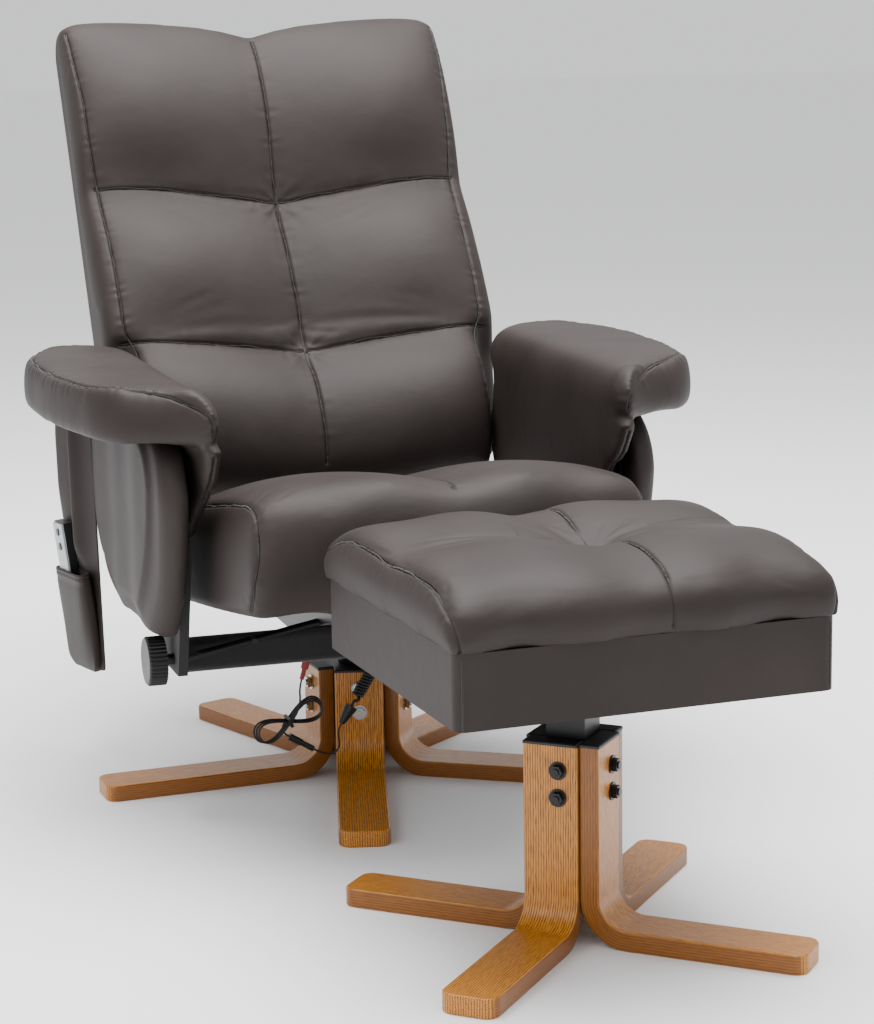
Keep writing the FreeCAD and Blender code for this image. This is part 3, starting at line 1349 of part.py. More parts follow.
def leads():
    down = plug_direction()
    plug_start = socket_point() + down * SOCKET_LENGTH
    plug_end = plug_start + down * PLUG_LENGTH
    grip = rod(plug_start, plug_start + down * (PLUG_LENGTH * PLUG_GRIP_SHARE), PLUG_RADIUS)
    neck = rod(plug_start, plug_end, PLUG_RADIUS * PLUG_NECK_SHARE)
    whole = 2 * math.pi * HANK_TURNS
    hank, points, tangents = wound(
        "lead_hank",
        hank_point,
        math.pi / 2,
        math.pi / 2 + whole,
        HANK_TURNS * HANK_STEPS,
        HANK_TAIL,
        LEAD_DIAMETER / 2,
    )
    hank_start = points[0] - tangents[0] * HANK_TAIL
    hank_end = points[-1] + tangents[-1] * HANK_TAIL
    before = hank_start - tangents[0] * UPPER_LAST
    upper = [plug_end, plug_end + down * UPPER_FIRST]
    upper.append((upper[-1] + before) / 2 + Vector(UPPER_BOW, 0, 0))
    upper += [before, hank_start]
    lower = [hank_end]
    connector_way = Vector(math.cos(CONNECTOR_SLOPE), 0, math.sin(CONNECTOR_SLOPE))
    first_slope = math.atan2(-tangents[-1].z, -tangents[-1].x) + math.pi
    halfway = (first_slope + CONNECTOR_SLOPE + 2 * math.pi) / 2
    lower.append(hank_end + tangents[-1] * LOWER_RUN)
    lower.append(lower[-1] + Vector(math.cos(halfway), 0, math.sin(halfway)) * (LOWER_RUN * LOWER_STRETCH))
    lower.append(lower[-1] + connector_way * LOWER_RUN)
    connector_end = lower[-1] + connector_way * CONNECTOR_LENGTH
    half = connector_way * (CONNECTOR_LENGTH / 2)
    barrel = rod(lower[-1], lower[-1] + half, CONNECTOR_RADIUS)
    sleeve = rod(lower[-1] + half, connector_end, CONNECTOR_RADIUS * SLEEVE_SHARE)
    curl = wound(
        "curly_cord",
        curl_point,
        -OPENING_TURN,
        2 * math.pi * CURL_COUNT + OPENING_TURN,
        int((CURL_COUNT + OPENING_TURN / math.pi) * TURN_STEPS),
        CURL_TAIL,
        CURL_WIRE / 2,
    )[0]
    way = curl_direction()
    boot_top = gland_end() + way * CURL_LENGTH
    boot_end = boot_top + way * BOOT_LENGTH
    boot = Part.makeCone(BOOT_RADIUS, BOOT_TIP_RADIUS, BOOT_LENGTH, boot_top, way)
    last = boot_end + way * BOOT_RUN
    rise = last - connector_end
    to_boot = [connector_end, connector_end + connector_way * BOOT_RUN]
    to_boot.append(connector_end + Vector(rise.x * BEND_SHARE, rise.y / 2, BEND_DROP))
    to_boot.append(Vector(last.x + BEND_OUT, last.y, to_boot[-1].z + BEND_RISE))
    to_boot += [last, boot_end]
    depth = HANK_PITCH * HANK_TURNS + LEAD_DIAMETER
    tie = block(
        Vector(-TIE_WIDTH / 2, -depth / 2 - TIE_CLEAR - TIE_THICKNESS, -TIE_HALF_HEIGHT - TIE_THICKNESS),
        Vector(TIE_WIDTH, depth + 2 * (TIE_CLEAR + TIE_THICKNESS), 2 * (TIE_HALF_HEIGHT + TIE_THICKNESS)),
    )
    inside = block(
        Vector(-OVERRUN, -depth / 2 - TIE_CLEAR, -TIE_HALF_HEIGHT),
        Vector(2 * OVERRUN, depth + 2 * TIE_CLEAR, 2 * TIE_HALF_HEIGHT),
    )
    tie = turned(tie.cut(inside), -HANK_SLOPE, axis=Vector(0, 1, 0))
    return {
        "lead_plug": joined([grip, neck]),
        "lead_upper": free_lead("lead_upper", upper),
        "lead_hank": hank,
        "lead_tie": moved(tie, Vector(HANK_X, socket_point().y, HANK_Z)),
        "lead_lower": free_lead("lead_lower", lower),
        "inline_connector": joined([barrel, sleeve]),
        "lead_to_boot": free_lead("lead_to_boot", to_boot),
        "curly_boot": boot,
        "curly_cord": curl,
    }


def save(nodes):
    os.makedirs("parts", exist_ok=True)
    for name, shape in nodes.items():
        shape = moved(shape, Vector(0, ROW_SHIFT, 0))
        shape.exportStep("parts/%s.step" % name)
        print(name, "solids", len(shape.Solids), "valid", shape.isValid(), "volume", round(shape.Volume))


def main():
    nodes = {}
    nodes.update(chair_base())
    nodes.update(swivel_and_mechanism())
    nodes["seat_cushion"] = seat_cushion()
    nodes.update(seat_frame())
    nodes.update(recline_plates())
    nodes["back_cushion"] = back_cushion()
    nodes.update(back_frame())
    nodes.update(arms())
    nodes["recline_knob"] = recline_knob()
    nodes["recline_rods"] = recline_rods()
    nodes["side_pocket"] = side_pocket()
    nodes.update(handset())
    nodes.update(footstool())
    nodes.update(leads())
    save(nodes)


main()
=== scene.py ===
import json
import math

import bmesh
import bpy
import numpy as np
from mathutils import Matrix, Vector
from mathutils.bvhtree import BVHTree
from mathutils.kdtree import KDTree


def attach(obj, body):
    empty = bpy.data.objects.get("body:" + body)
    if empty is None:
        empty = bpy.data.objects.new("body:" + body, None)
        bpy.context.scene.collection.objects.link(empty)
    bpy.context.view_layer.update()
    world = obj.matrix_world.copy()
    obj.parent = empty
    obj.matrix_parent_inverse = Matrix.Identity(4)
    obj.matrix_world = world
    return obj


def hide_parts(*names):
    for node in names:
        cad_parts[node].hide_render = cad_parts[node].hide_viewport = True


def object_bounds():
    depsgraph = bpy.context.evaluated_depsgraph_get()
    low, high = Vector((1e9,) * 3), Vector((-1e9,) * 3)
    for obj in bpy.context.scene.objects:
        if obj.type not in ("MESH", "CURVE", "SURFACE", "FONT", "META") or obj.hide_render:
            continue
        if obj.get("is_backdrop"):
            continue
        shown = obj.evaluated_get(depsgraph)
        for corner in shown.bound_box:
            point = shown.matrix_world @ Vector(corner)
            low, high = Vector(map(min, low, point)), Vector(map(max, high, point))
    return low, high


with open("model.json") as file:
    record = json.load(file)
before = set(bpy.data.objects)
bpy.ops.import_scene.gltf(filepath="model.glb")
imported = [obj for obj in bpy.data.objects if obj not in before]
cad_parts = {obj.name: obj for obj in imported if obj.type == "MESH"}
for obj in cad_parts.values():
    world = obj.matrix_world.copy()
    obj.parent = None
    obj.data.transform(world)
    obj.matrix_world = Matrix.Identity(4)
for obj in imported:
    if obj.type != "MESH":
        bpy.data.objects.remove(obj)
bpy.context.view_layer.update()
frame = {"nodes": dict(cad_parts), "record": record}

nodes = frame["nodes"]

# Places and slopes of the upholstery, in metres and radians
CHAIR_Y = 0.1745
SEAT_TILT = math.radians(9.6)
SEAT_Z = 0.385
BACK_LEAN = math.radians(30.5)
BACK_Y = CHAIR_Y + 0.2
BACK_Z = 0.33
STOOL = (0.045, CHAIR_Y - 0.703)
STOOL_TURN = math.radians(3.1)

BACK_UP = Vector((0, math.sin(BACK_LEAN), math.cos(BACK_LEAN)))
BACK_OUT = Vector((0, -math.cos(BACK_LEAN), math.sin(BACK_LEAN)))
SEAT_BACKWARD = Vector((0, math.cos(SEAT_TILT), -math.sin(SEAT_TILT)))
SEAT_OUT = Vector((0, math.sin(SEAT_TILT), math.cos(SEAT_TILT)))
STOOL_X = Vector((math.cos(STOOL_TURN), math.sin(STOOL_TURN), 0))
STOOL_Y = Vector((-math.sin(STOOL_TURN), math.cos(STOOL_TURN), 0))


def on_back(across, up, out=0.2):
    return Vector((across, BACK_Y, BACK_Z)) + BACK_UP * up + BACK_OUT * out


def on_seat(across, run, out=0.2):
    return Vector((across, CHAIR_Y, SEAT_Z)) + SEAT_BACKWARD * run + SEAT_OUT * out


def on_stool(across, run, height=0.6):
    return Vector((STOOL[0], STOOL[1], height)) + STOOL_X * across + STOOL_Y * run


# Camera, at the photograph's viewing angle
camera = bpy.data.objects.new("camera", bpy.data.cameras.new("camera"))
camera.location = (-0.8973, -3.0638, 0.9829)
camera.rotation_euler = [math.radians(turn) for turn in (79.2687, 0.8941, -17.5194)]
camera.data.sensor_width = 36
camera.data.lens = 90.77
bpy.context.collection.objects.link(camera)
bpy.context.scene.camera = camera

# Leads under the seat, in metres: one is tied into a flat hank, one is coiled between two straight ends
LEAD_DIAMETER = 0.0026
HANK_TURNS = 3
HANK_POINTS = 20
HANK_CENTRE = Vector((-0.12, 0.0815, 0.098))
HANK_SLOPE = math.radians(22)
HANK_REACH = 0.05
HANK_RISE = 0.015
HANK_GROWTH = 0.12
HANK_STEP = 0.0062
CURL_START = Vector((0.01446, 0.0815, 0.18821))
CURL_WAY = Vector((-0.53905, 0, -0.84227))
CURL_LENGTH = 0.093
CURL_COILED = 0.0606
CURL_TAIL = 0.0042
CURL_LEAD_IN = 0.012
CURL_OPENING = 1.5 * math.pi
CURL_TURNS = 15
CURL_POINTS = 14
CURL_RADIUS = 0.0068
CURL_WIRE = 0.0038
LEAD_DOWN = [
    (-0.1015, 0.0815, 0.1519),
    (-0.1050, 0.0815, 0.1393),
    (-0.1049, 0.0767, 0.1247),
    (-0.1108, 0.0719, 0.1101),
    (-0.1181, 0.0721, 0.1006),
]
LEAD_ON = [
    (-0.1219, 0.0909, 0.0954),
    (-0.1270, 0.0910, 0.0887),
    (-0.1252, 0.0910, 0.0792),
    (-0.1181, 0.0910, 0.0748),
]
BOOT_LEAD = [
    (-0.0859, 0.0910, 0.0547),
    (-0.0757, 0.0910, 0.0483),
    (-0.0606, 0.0862, 0.0457),
    (-0.0512, 0.0815, 0.0577),
    (-0.0562, 0.0815, 0.0779),
    (-0.0497, 0.0815, 0.0880),
]


def ease(share):
    """From 0 to 1 with a soft start and a soft end."""
    return share * share * (3 - 2 * share)


def hank_point(turn):
    """Flat figure of eight, one loop behind the other, each a little longer than the last."""
    share = (turn - math.pi / 2) / (2 * math.pi * HANK_TURNS)
    growth = 1 + HANK_GROWTH * (share - 1)
    along = Vector((math.cos(HANK_SLOPE), 0, math.sin(HANK_SLOPE))) * HANK_REACH * math.cos(turn)
    above = Vector((-math.sin(HANK_SLOPE), 0, math.cos(HANK_SLOPE))) * HANK_RISE * math.sin(2 * turn)
    behind = Vector((0, HANK_STEP * HANK_TURNS * (share - 0.5), 0))
    return HANK_CENTRE + behind + (along + above) * growth


def curl_point(turn):
    """Coil about the line from the gland to the boot, opening from the axis and closing on it."""
    whole = 2 * math.pi * CURL_TURNS
    low = min(max((turn + CURL_OPENING) / CURL_OPENING, 0.0), 1.0)
    high = min(max((whole + CURL_OPENING - turn) / CURL_OPENING, 0.0), 1.0)
    radius = CURL_RADIUS * ease(low) * ease(high)
    middle = min(max(turn, 0.0), whole) / whole * CURL_COILED
    centre = CURL_START + CURL_WAY * (CURL_TAIL + CURL_LEAD_IN * (low + 1 - high) + middle)
    beside = CURL_WAY.cross(Vector((0, 1, 0)))
    return centre + Vector((0, radius * math.cos(turn), 0)) + beside * (radius * math.sin(turn))


def cord_tube(name, points, diameter, replaced, **facts):
    """Round tube about one smooth line through the route's control points."""
    curve = bpy.data.curves.new(name, "CURVE")
    curve.dimensions = "3D"
    spline = curve.splines.new("NURBS")
    spline.points.add(len(points) - 1)
    for slot, point in zip(spline.points, points):
        slot.co = (*point, 1)
    spline.order_u = 3
    spline.use_endpoint_u = True
    spline.resolution_u = 8
    route = bpy.data.objects.new(name + "_route", curve)
    bpy.context.collection.objects.link(route)
    bare = bpy.data.meshes.new_from_object(route)
    curve.bevel_depth = diameter / 2
    curve.bevel_resolution = 4
    curve.use_fill_caps = True
    tube = bpy.data.objects.new(name, bpy.data.meshes.new_from_object(route))
    bpy.data.objects.remove(route)
    bpy.context.collection.objects.link(tube)
    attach(tube, "seat")
    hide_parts(*replaced)
    return tube


hank_turns = np.linspace(math.pi / 2, math.pi / 2 + 2 * math.pi * HANK_TURNS, HANK_POINTS * HANK_TURNS + 1)
lead = cord_tube(
    "lead",
    LEAD_DOWN + [tuple(hank_point(turn)) for turn in hank_turns] + LEAD_ON,
    LEAD_DIAMETER,
    ["lead_upper", "lead_hank", "lead_lower"],
    length=0.789,
    far_end="connector",
    stiffness="limp",
    lay="hanging",
    with_pieces=["lead_tie", "inline_connector"],
)
boot_lead = cord_tube(
    "boot_lead",
    BOOT_LEAD,
    LEAD_DIAMETER,
    ["lead_to_boot"],
    length=0.073,
    far_end="object",
    stiffness="limp",
    lay="hanging",
)
curl_turns = np.linspace(-CURL_OPENING, 2 * math.pi * CURL_TURNS + CURL_OPENING, CURL_POINTS * (CURL_TURNS + 2))
curl_ends = (tuple(CURL_START), tuple(CURL_START + CURL_WAY * CURL_LENGTH))
curly = cord_tube(
    "curly_lead",
    [curl_ends[0]] + [tuple(curl_point(turn)) for turn in curl_turns] + [curl_ends[1]],
    CURL_WIRE,
    ["curly_cord"],
    length=0.681,
    far_end="fitting",
    stiffness="medium",
    lay="taut",
    with_pieces=["curly_boot"],
)


# Finishes
def linear(code):
    """sRGB hex colour as linear red, green, blue and alpha."""
    channels = [int(code[i : i + 2], 16) / 255 for i in (1, 3, 5)]
    return [c / 12.92 if c <= 0.04045 else ((c + 0.055) / 1.055) ** 2.4 for c in channels] + [1.0]


def per_metre(millimetres):
    return 1000 / millimetres


def plug(tree, node, inputs):
    """Sets each input of a node to its value, or links it to its socket."""
    for key, value in inputs.items():
        if isinstance(value, bpy.types.NodeSocket):
            tree.links.new(value, node.inputs[key])
        else:
            node.inputs[key].default_value = value


def add(tree, kind, inputs, stops=(), **settings):
    """A shader node with its settings, its inputs and, on a colour ramp, its stops."""
    made = tree.nodes.new(kind)
    for key, value in settings.items():
        setattr(made, key, value)
    for element, (position, colour) in zip(made.color_ramp.elements if stops else (), stops):
        element.position, element.color = position, linear(colour)
    plug(tree, made, inputs)
    return made


def finish(name, colour, roughness, **sockets):
    """Plain finish, its shader, and object coordinates in metres for its patterns."""
    material = bpy.data.materials.new(name)
    material.use_nodes = True
    material.diffuse_color = linear(colour)
    tree = material.node_tree
    shader = tree.nodes["Principled BSDF"]
    plug(tree, shader, {"Base Color": linear(colour), "Roughness": roughness})
    plug(tree, shader, {key.replace("_", " "): value for key, value in sockets.items()})
    return material, tree, shader, add(tree, "ShaderNodeTexCoord", {}).outputs["Object"]


def mottled(tree, shader, place, low, high, size):
    """Colour that drifts between two shades over a pattern of the given size in millimetres."""
    noise = add(tree, "ShaderNodeTexNoise", {"Vector": place, "Scale": per_metre(size), "Detail": 3.0})
    drift = noise.outputs["Fac"]
    shade = add(tree, "ShaderNodeValToRGB", {"Fac": drift}, stops=((0.35, low), (0.65, high)))
    plug(tree, shader, {"Base Color": shade.outputs["Color"]})
    return drift


def bonded_leather():
    """Polyurethane-coated leather, rolled with a fine pebble: satin, with long soft highlights."""
    material, tree, shader, place = finish("bonded_leather_rolled", "#2D2523", 0.44, Specular_IOR_Level=0.22)
    drift = mottled(tree, shader, place, "#292220", "#302927", 140.0)
    gloss = add(tree, "ShaderNodeMapRange", {"Value": drift, "To Min": 0.5, "To Max": 0.6})
    # the pebble is about 1 mm across on the real hide, drawn at 2 mm so that it shows
    pebble = add(tree, "ShaderNodeTexVoronoi", {"Vector": place, "Scale": per_metre(2.0)})
    grain = {"Height": pebble.outputs["Distance"], "Distance": 0.00012, "Strength": 0.25}
    grained = add(tree, "ShaderNodeBump", grain).outputs["Normal"]
    # the hide lies a little slack over its filling, in swells some 34 mm long
    slack = add(tree, "ShaderNodeTexNoise", {"Vector": place, "Scale": per_metre(34.0), "Detail": 4.0})
    swell = {"Height": slack.outputs["Fac"], "Distance": 0.0022, "Strength": 0.35, "Normal": grained}
    plug(tree, shader, {"Roughness": gloss.outputs[0], "Normal": add(tree, "ShaderNodeBump", swell).outputs["Normal"]})
    return material


# half the thickness of a leg's board, in metres
HALF_BOARD = 0.01


def oak_ply(name, centre, angle, bend):
    """Bent oak plywood under satin lacquer: grain runs down the board and out to its tip, plies show at the edges.

    centre and angle place the leg round its hub. bend holds the radius of the bend's centre from the hub, its height,
    and its inner radius.
    """
    lacquer = {"Specular_IOR_Level": 0.35, "Coat_Weight": 0.12, "Coat_Roughness": 0.25}
    material, tree, shader, place = finish(name, "#B5783F", 0.36, **lacquer)
    leg = {"Vector": place, "Location": (*centre, 0.0), "Rotation": (0, 0, angle)}
    local = add(tree, "ShaderNodeMapping", leg, vector_type="TEXTURE")
    parts = add(tree, "ShaderNodeSeparateXYZ", {0: local.outputs[0]})
    reach, height, radius = bend
    neutral = radius + HALF_BOARD
    found = {"x": parts.outputs[0], "y": parts.outputs[1], "z": parts.outputs[2]}
    # board coordinates: run along the grain, round the bend too, and depth through the plies
    for key, operation, *terms in (
        ("inward", "SUBTRACT", reach, "x"),
        ("inward", "MAXIMUM", "inward", 0.0),
        ("downward", "SUBTRACT", height, "z"),
        ("downward", "MAXIMUM", "downward", 0.0),
        ("outward", "SUBTRACT", "x", reach),
        ("outward", "MAXIMUM", "outward", 0.0),
        ("upward", "SUBTRACT", "z", height),
        ("upward", "MAXIMUM", "upward", 0.0),
        ("depth", "MULTIPLY", "downward", "downward"),
        ("depth", "MULTIPLY_ADD", "inward", "inward", "depth"),
        ("depth", "SQRT", "depth"),
        ("run", "SUBTRACT", "outward", "upward"),
        ("turn", "ARCTAN2", "downward", "inward"),
        ("run", "MULTIPLY_ADD", "turn", neutral, "run"),
    ):
        inputs = {slot: found.get(term, term) for slot, term in enumerate(terms)}
        found[key] = add(tree, "ShaderNodeMath", inputs, operation=operation).outputs[0]
    board = add(tree, "ShaderNodeCombineXYZ", {0: found["run"], 1: found["y"], 2: found["depth"]}).outputs[0]

    # growth rings cut flat: long lines 2.9 mm apart that waver over 333 mm of run and 26 mm of width
    sizes = tuple(per_metre(size) for size in (333.3, 26.3, 50.0))
    long = add(tree, "ShaderNodeVectorMath", {0: board, 1: sizes}, operation="MULTIPLY")
    swirl = add(tree, "ShaderNodeTexNoise", {"Vector": long.outputs[0], "Scale": 1.0, "Detail": 2.0})
    lines = add(tree, "ShaderNodeMath", {0: found["y"], 1: 2 * math.pi * per_metre(2.9)}, operation="MULTIPLY")
    bent = {0: swirl.outputs["Fac"], 1: 10.0, 2: lines.outputs[0]}
    wavering = add(tree, "ShaderNodeMath", bent, operation="MULTIPLY_ADD")
    rings = add(tree, "ShaderNodeMath", {0: wavering.outputs[0]}, operation="SINE")
    # pores are about 0.3 mm wide in oak, drawn at 0.67 mm so that they show, and 14 mm long
    sizes = tuple(per_metre(size) for size in (14.3, 0.667, 1.11))
    fine = add(tree, "ShaderNodeVectorMath", {0: board, 1: sizes}, operation="MULTIPLY")
    pores = add(tree, "ShaderNodeTexNoise", {"Vector": fine.outputs[0], "Scale": 1.0, "Detail": 2.0}).outputs["Fac"]
    figure = add(tree, "ShaderNodeMath", {0: rings.outputs[0], 1: 0.15, 2: pores}, operation="MULTIPLY_ADD").outputs[0]
    veneer = add(tree, "ShaderNodeValToRGB", {"Fac": figure}, stops=((0.32, "#6E3A0A"), (0.6, "#CC8730")))

    # plies are 1.6 mm thick, every other one laid crosswise and darker at the edge
    level = add(tree, "ShaderNodeMath", {0: found["depth"], 1: per_metre(3.2)}, operation="MULTIPLY")
    ply = add(tree, "ShaderNodeMath", {0: level.outputs[0], 1: 0.5}, operation="PINGPONG")
    both = add(tree, "ShaderNodeMath", {0: ply.outputs[0], 1: pores}, operation="ADD")
    share = add(tree, "ShaderNodeMath", {0: both.outputs[0], 1: 0.6}, operation="MULTIPLY")
    stops = ((0.12, "#5A330C"), (0.62, "#93591C"))
    edge = add(tree, "ShaderNodeValToRGB", {"Fac": share.outputs[0]}, stops=stops)

    # the edges are the faces that look across the board
    facing = add(tree, "ShaderNodeTexCoord", {}).outputs["Normal"]
    turned = add(tree, "ShaderNodeMapping", {"Vector": facing, "Rotation": (0, 0, -angle)}, vector_type="NORMAL")
    normal = add(tree, "ShaderNodeSeparateXYZ", {0: turned.outputs[0]})
    across = add(tree, "ShaderNodeMath", {0: normal.outputs[1]}, operation="ABSOLUTE")
    sideways = add(tree, "ShaderNodeMapRange", {"Value": across.outputs[0], "From Min": 0.6, "From Max": 0.9})
    faces = {"Factor": sideways.outputs[0], 6: veneer.outputs[0], 7: edge.outputs[0]}
    colour = add(tree, "ShaderNodeMix", faces, data_type="RGBA")
    relief = add(tree, "ShaderNodeBump", {"Height": figure, "Distance": 0.0002, "Strength": 0.4})
    plug(tree, shader, {"Base Color": colour.outputs[2], "Normal": relief.outputs["Normal"]})
    return material


def powder_coated_steel():
    """Black powder coat baked on steel: an even orange-peel skin of low gloss."""
    material, tree, shader, place = finish("powder_coated_steel_black", "#0E0E10", 0.42, Specular_IOR_Level=0.35)
    mottled(tree, shader, place, "#0C0C0E", "#131315", 60.0)
    peel = add(tree, "ShaderNodeTexNoise", {"Vector": place, "Scale": per_metre(1.6), "Detail": 2.0})
    relief = add(tree, "ShaderNodeBump", {"Height": peel.outputs["Fac"], "Distance": 0.00015, "Strength": 0.3})
    plug(tree, shader, {"Normal": relief.outputs["Normal"]})
    return material


def plated(name, colour, roughness):
    """Bright zinc or chrome plate on turned steel: fine turning marks in the highlight."""
    material, tree, shader, place = finish(name, colour, roughness, Metallic=1.0)
    marks = add(tree, "ShaderNodeTexNoise", {"Vector": place, "Scale": per_metre(3.0), "Detail": 5.0}).outputs["Fac"]
    spread = {"Value": marks, "To Min": roughness * 0.6, "To Max": roughness * 1.6}
    plug(tree, shader, {"Roughness": add(tree, "ShaderNodeMapRange", spread).outputs[0]})
    return material


def moulded(name, low, high, roughness):
    """Injection-moulded plastic with a spark-eroded texture: a fine even matt."""
    material, tree, shader, place = finish(name, low, roughness, Specular_IOR_Level=0.4)
    mottled(tree, shader, place, low, high, 45.0)
    spark = add(tree, "ShaderNodeTexNoise", {"Vector": place, "Scale": per_metre(0.9), "Detail": 2.0})
    relief = add(tree, "ShaderNodeBump", {"Height": spark.outputs["Fac"], "Distance": 0.00008, "Strength": 0.4})
    plug(tree, shader, {"Normal": relief.outputs["Normal"]})
    return material


# a wave texture of scale 1 has 3.2 bands to the metre
WAVE_BANDS = 3.2


def woven(name, low, high, pitch):
    """Plain weave, threads over and under at the given pitch in millimetres: dull, with a soft sheen."""
    material, tree, shader, place = finish(name, low, 0.88, Sheen_Weight=0.25)
    mottled(tree, shader, place, low, high, 8.0)
    wave = {"Vector": place, "Scale": per_metre(pitch) / WAVE_BANDS}
    warp, weft = (add(tree, "ShaderNodeTexWave", wave, bands_direction=way).outputs["Fac"] for way in "XY")
    cross = add(tree, "ShaderNodeMath", {0: warp, 1: weft}, operation="MULTIPLY")
    relief = add(tree, "ShaderNodeBump", {"Height": cross.outputs[0], "Distance": 0.0003, "Strength": 0.5})
    plug(tree, shader, {"Normal": relief.outputs["Normal"]})
    return material


leather = bonded_leather()
lining_and_gap_shade = woven("polyester_lining_black", "#0E0D0D", "#151414", 0.9)
rubber = moulded("pvc_cable_black", "#121213", "#19191A", 0.48)
# near-black colour of the seam lines: painted shadow in the seams' creases
seam_painted_shadow = woven("seam_crease_painted_shadow", "#120E0D", "#1C1614", 0.6)
thread = woven("polyester_thread_taupe", "#3B322F", "#4A403D", 0.5)

# Finishes of the CAD pieces that show as they are. The boards are dressed in the black lining where they show; under
# the lid, where its board shows in the gap at the cushion's foot, that black is painted shade.
SLOT_FINISH = {
    "black_steel": powder_coated_steel(),
    "chrome_fasteners": plated("chrome_plated_steel", "#B4B6B9", 0.2),
    "zinc_hinge": plated("zinc_plated_steel", "#A8ABAD", 0.34),
    "black_caps": moulded("polyethylene_caps_black", "#1A1A1B", "#222223", 0.5),
    "black_plastic": moulded("abs_moulded_black", "#0C0C0D", "#121213", 0.42),
    "silver_plastic": moulded("abs_painted_silver", "#9CA1A4", "#A9AEB1", 0.32),
    "red_plastic": moulded("pvc_moulded_red", "#6E1214", "#86191B", 0.35),
    "motor_plastic": moulded("abs_moulded_grey", "#3A3B3D", "#454648", 0.5),
    "webbing": woven("elastic_webbing_black", "#1B1B1C", "#2A2A2B", 1.4),
    "taupe_leather": leather,
    "cord_rubber": rubber,
    "black_fabric": lining_and_gap_shade,
    # the lid's board shows in the gap under its cushion, where its black stands for that gap's shadow: painted shade
    "board_wood": lining_and_gap_shade,
}
# Names, number, turn of the first leg in degrees, hub, and the bend: radius of its centre, height, inner radius
LEG_SETS = (
    ("base_leg_%d", 5, -104.8, (0.0, CHAIR_Y), (0.09934, 0.055, 0.034)),
    ("stool_leg_%d", 4, -135.0 + 3.1, STOOL, (0.0768, 0.054, 0.032)),
)


def dress(node_name, material):
    """Gives a CAD node one finish, whatever slots it came with."""
    piece = nodes[node_name]
    for slot in piece.material_slots:
        slot.material = material
    if not piece.material_slots:
        piece.data.materials.append(material)


for row in frame["record"]["subparts"]:
    if row["material_slot"] in SLOT_FINISH:
        dress(row["node"], SLOT_FINISH[row["material_slot"]])
for pattern, count, start, centre, bend in LEG_SETS:
    for index in range(count):
        turn = math.radians(start + 360 / count * index)
        name = pattern % (index + 1)
        dress(name, oak_ply("oak_plywood_lacquered_" + name, centre, turn, bend))
for piece in (lead, boot_lead, curly):
    piece.data.materials.append(rubber)
    piece.data.shade_smooth()


# Mesh work on the upholstery, with sizes in metres
CLOTH_FRAMES = 20
CLOTH_PRESSURE = 4.0
# seam lines: spacing of their points, and how often their corners and their wobbles are eased
LINE_STEP = 0.004
LINE_EASING = 12
CALMING = 10
RAY_START = 0.3
# points within this box round the lines are measured to the lines' finer points, all others count as far away
FINE_STEP = 0.0006
NEAR_BOX = 0.06
FAR_AWAY = 1.0
EASING = 0.6
# sewing thread
TUBE_SIDES = 6
SEAM_RADIUS = 0.0008
STITCH_PITCH = 0.0055
STITCH_LENGTH = 0.004
STITCH_RADIUS = 0.00045
STITCH_LIFT = 0.0004
STITCH_GIRTHS = (0.6, 1.0, 0.6)


def points_of(piece):
    co = np.empty(len(piece.data.vertices) * 3)
    piece.data.vertices.foreach_get("co", co)
    return co.reshape(-1, 3)


def move_points(piece, co):
    piece.data.vertices.foreach_set("co", co.ravel())
    piece.data.update()


def normals_of(piece):
    out = np.empty(len(piece.data.vertices) * 3)
    piece.data.vertex_normals.foreach_get("vector", out)
    return out.reshape(-1, 3)


def keep_result(piece):
    """Makes the mesh that the modifiers give the piece's own."""
    graph = bpy.context.evaluated_depsgraph_get()
    mesh = bpy.data.meshes.new_from_object(piece.evaluated_get(graph))
    piece.modifiers.clear()
    old = piece.data
    piece.data = mesh
    bpy.data.meshes.remove(old)


def settled(piece, kind, **settings):
    """Adds one modifier and keeps its result as the mesh."""
    modifier = piece.modifiers.new(kind.lower(), kind)
    for key, value in settings.items():
        setattr(modifier, key, value)
    keep_result(piece)


def built(name, work):
    """The edited mesh as an object in the scene."""
    mesh = bpy.data.meshes.new(name)
    work.to_mesh(mesh)
    work.free()
    made = bpy.data.objects.new(name, mesh)
    bpy.context.collection.objects.link(made)
    return made


def skin(name, node_names, voxel, smoothing):
    """Even closed skin over CAD solids, which then goes its own way."""
    work = bmesh.new()
    for node_name in node_names:
        work.from_mesh(nodes[node_name].data)
    bmesh.ops.remove_doubles(work, verts=work.verts, dist=1e-6)
    piece = built(name, work)
    settled(piece, "REMESH", mode="VOXEL", voxel_size=voxel)
    settled(piece, "SMOOTH", factor=0.5, iterations=smoothing)
    piece.data.materials.append(leather)
    return piece


def plumped(piece, held, cap):
    """Cloth under pressure: the skin swells between what holds it, no further than cap."""
    before = points_of(piece)
    group = piece.vertex_groups.new(name="held")
    group.add([int(i) for i in np.flatnonzero(held)], 1.0, "REPLACE")
    modifier = piece.modifiers.new("cloth", "CLOTH")
    cloth = modifier.settings
    cloth.quality = 4
    cloth.mass = 0.3
    cloth.tension_stiffness = 12
    cloth.compression_stiffness = 12
    cloth.bending_stiffness = 0.4
    cloth.use_pressure = True
    cloth.uniform_pressure_force = CLOTH_PRESSURE
    cloth.vertex_group_mass = "held"
    cloth.effector_weights.gravity = 0
    modifier.collision_settings.use_collision = False
    modifier.point_cache.frame_end = CLOTH_FRAMES
    for step in range(CLOTH_FRAMES):
        bpy.context.scene.frame_set(step + 1)
    keep_result(piece)
    bpy.context.scene.frame_set(1)
    move = points_of(piece) - before
    reach = np.linalg.norm(move, axis=1, keepdims=True)
    move_points(piece, before + move * np.minimum(1, cap / np.maximum(reach, 1e-9)))


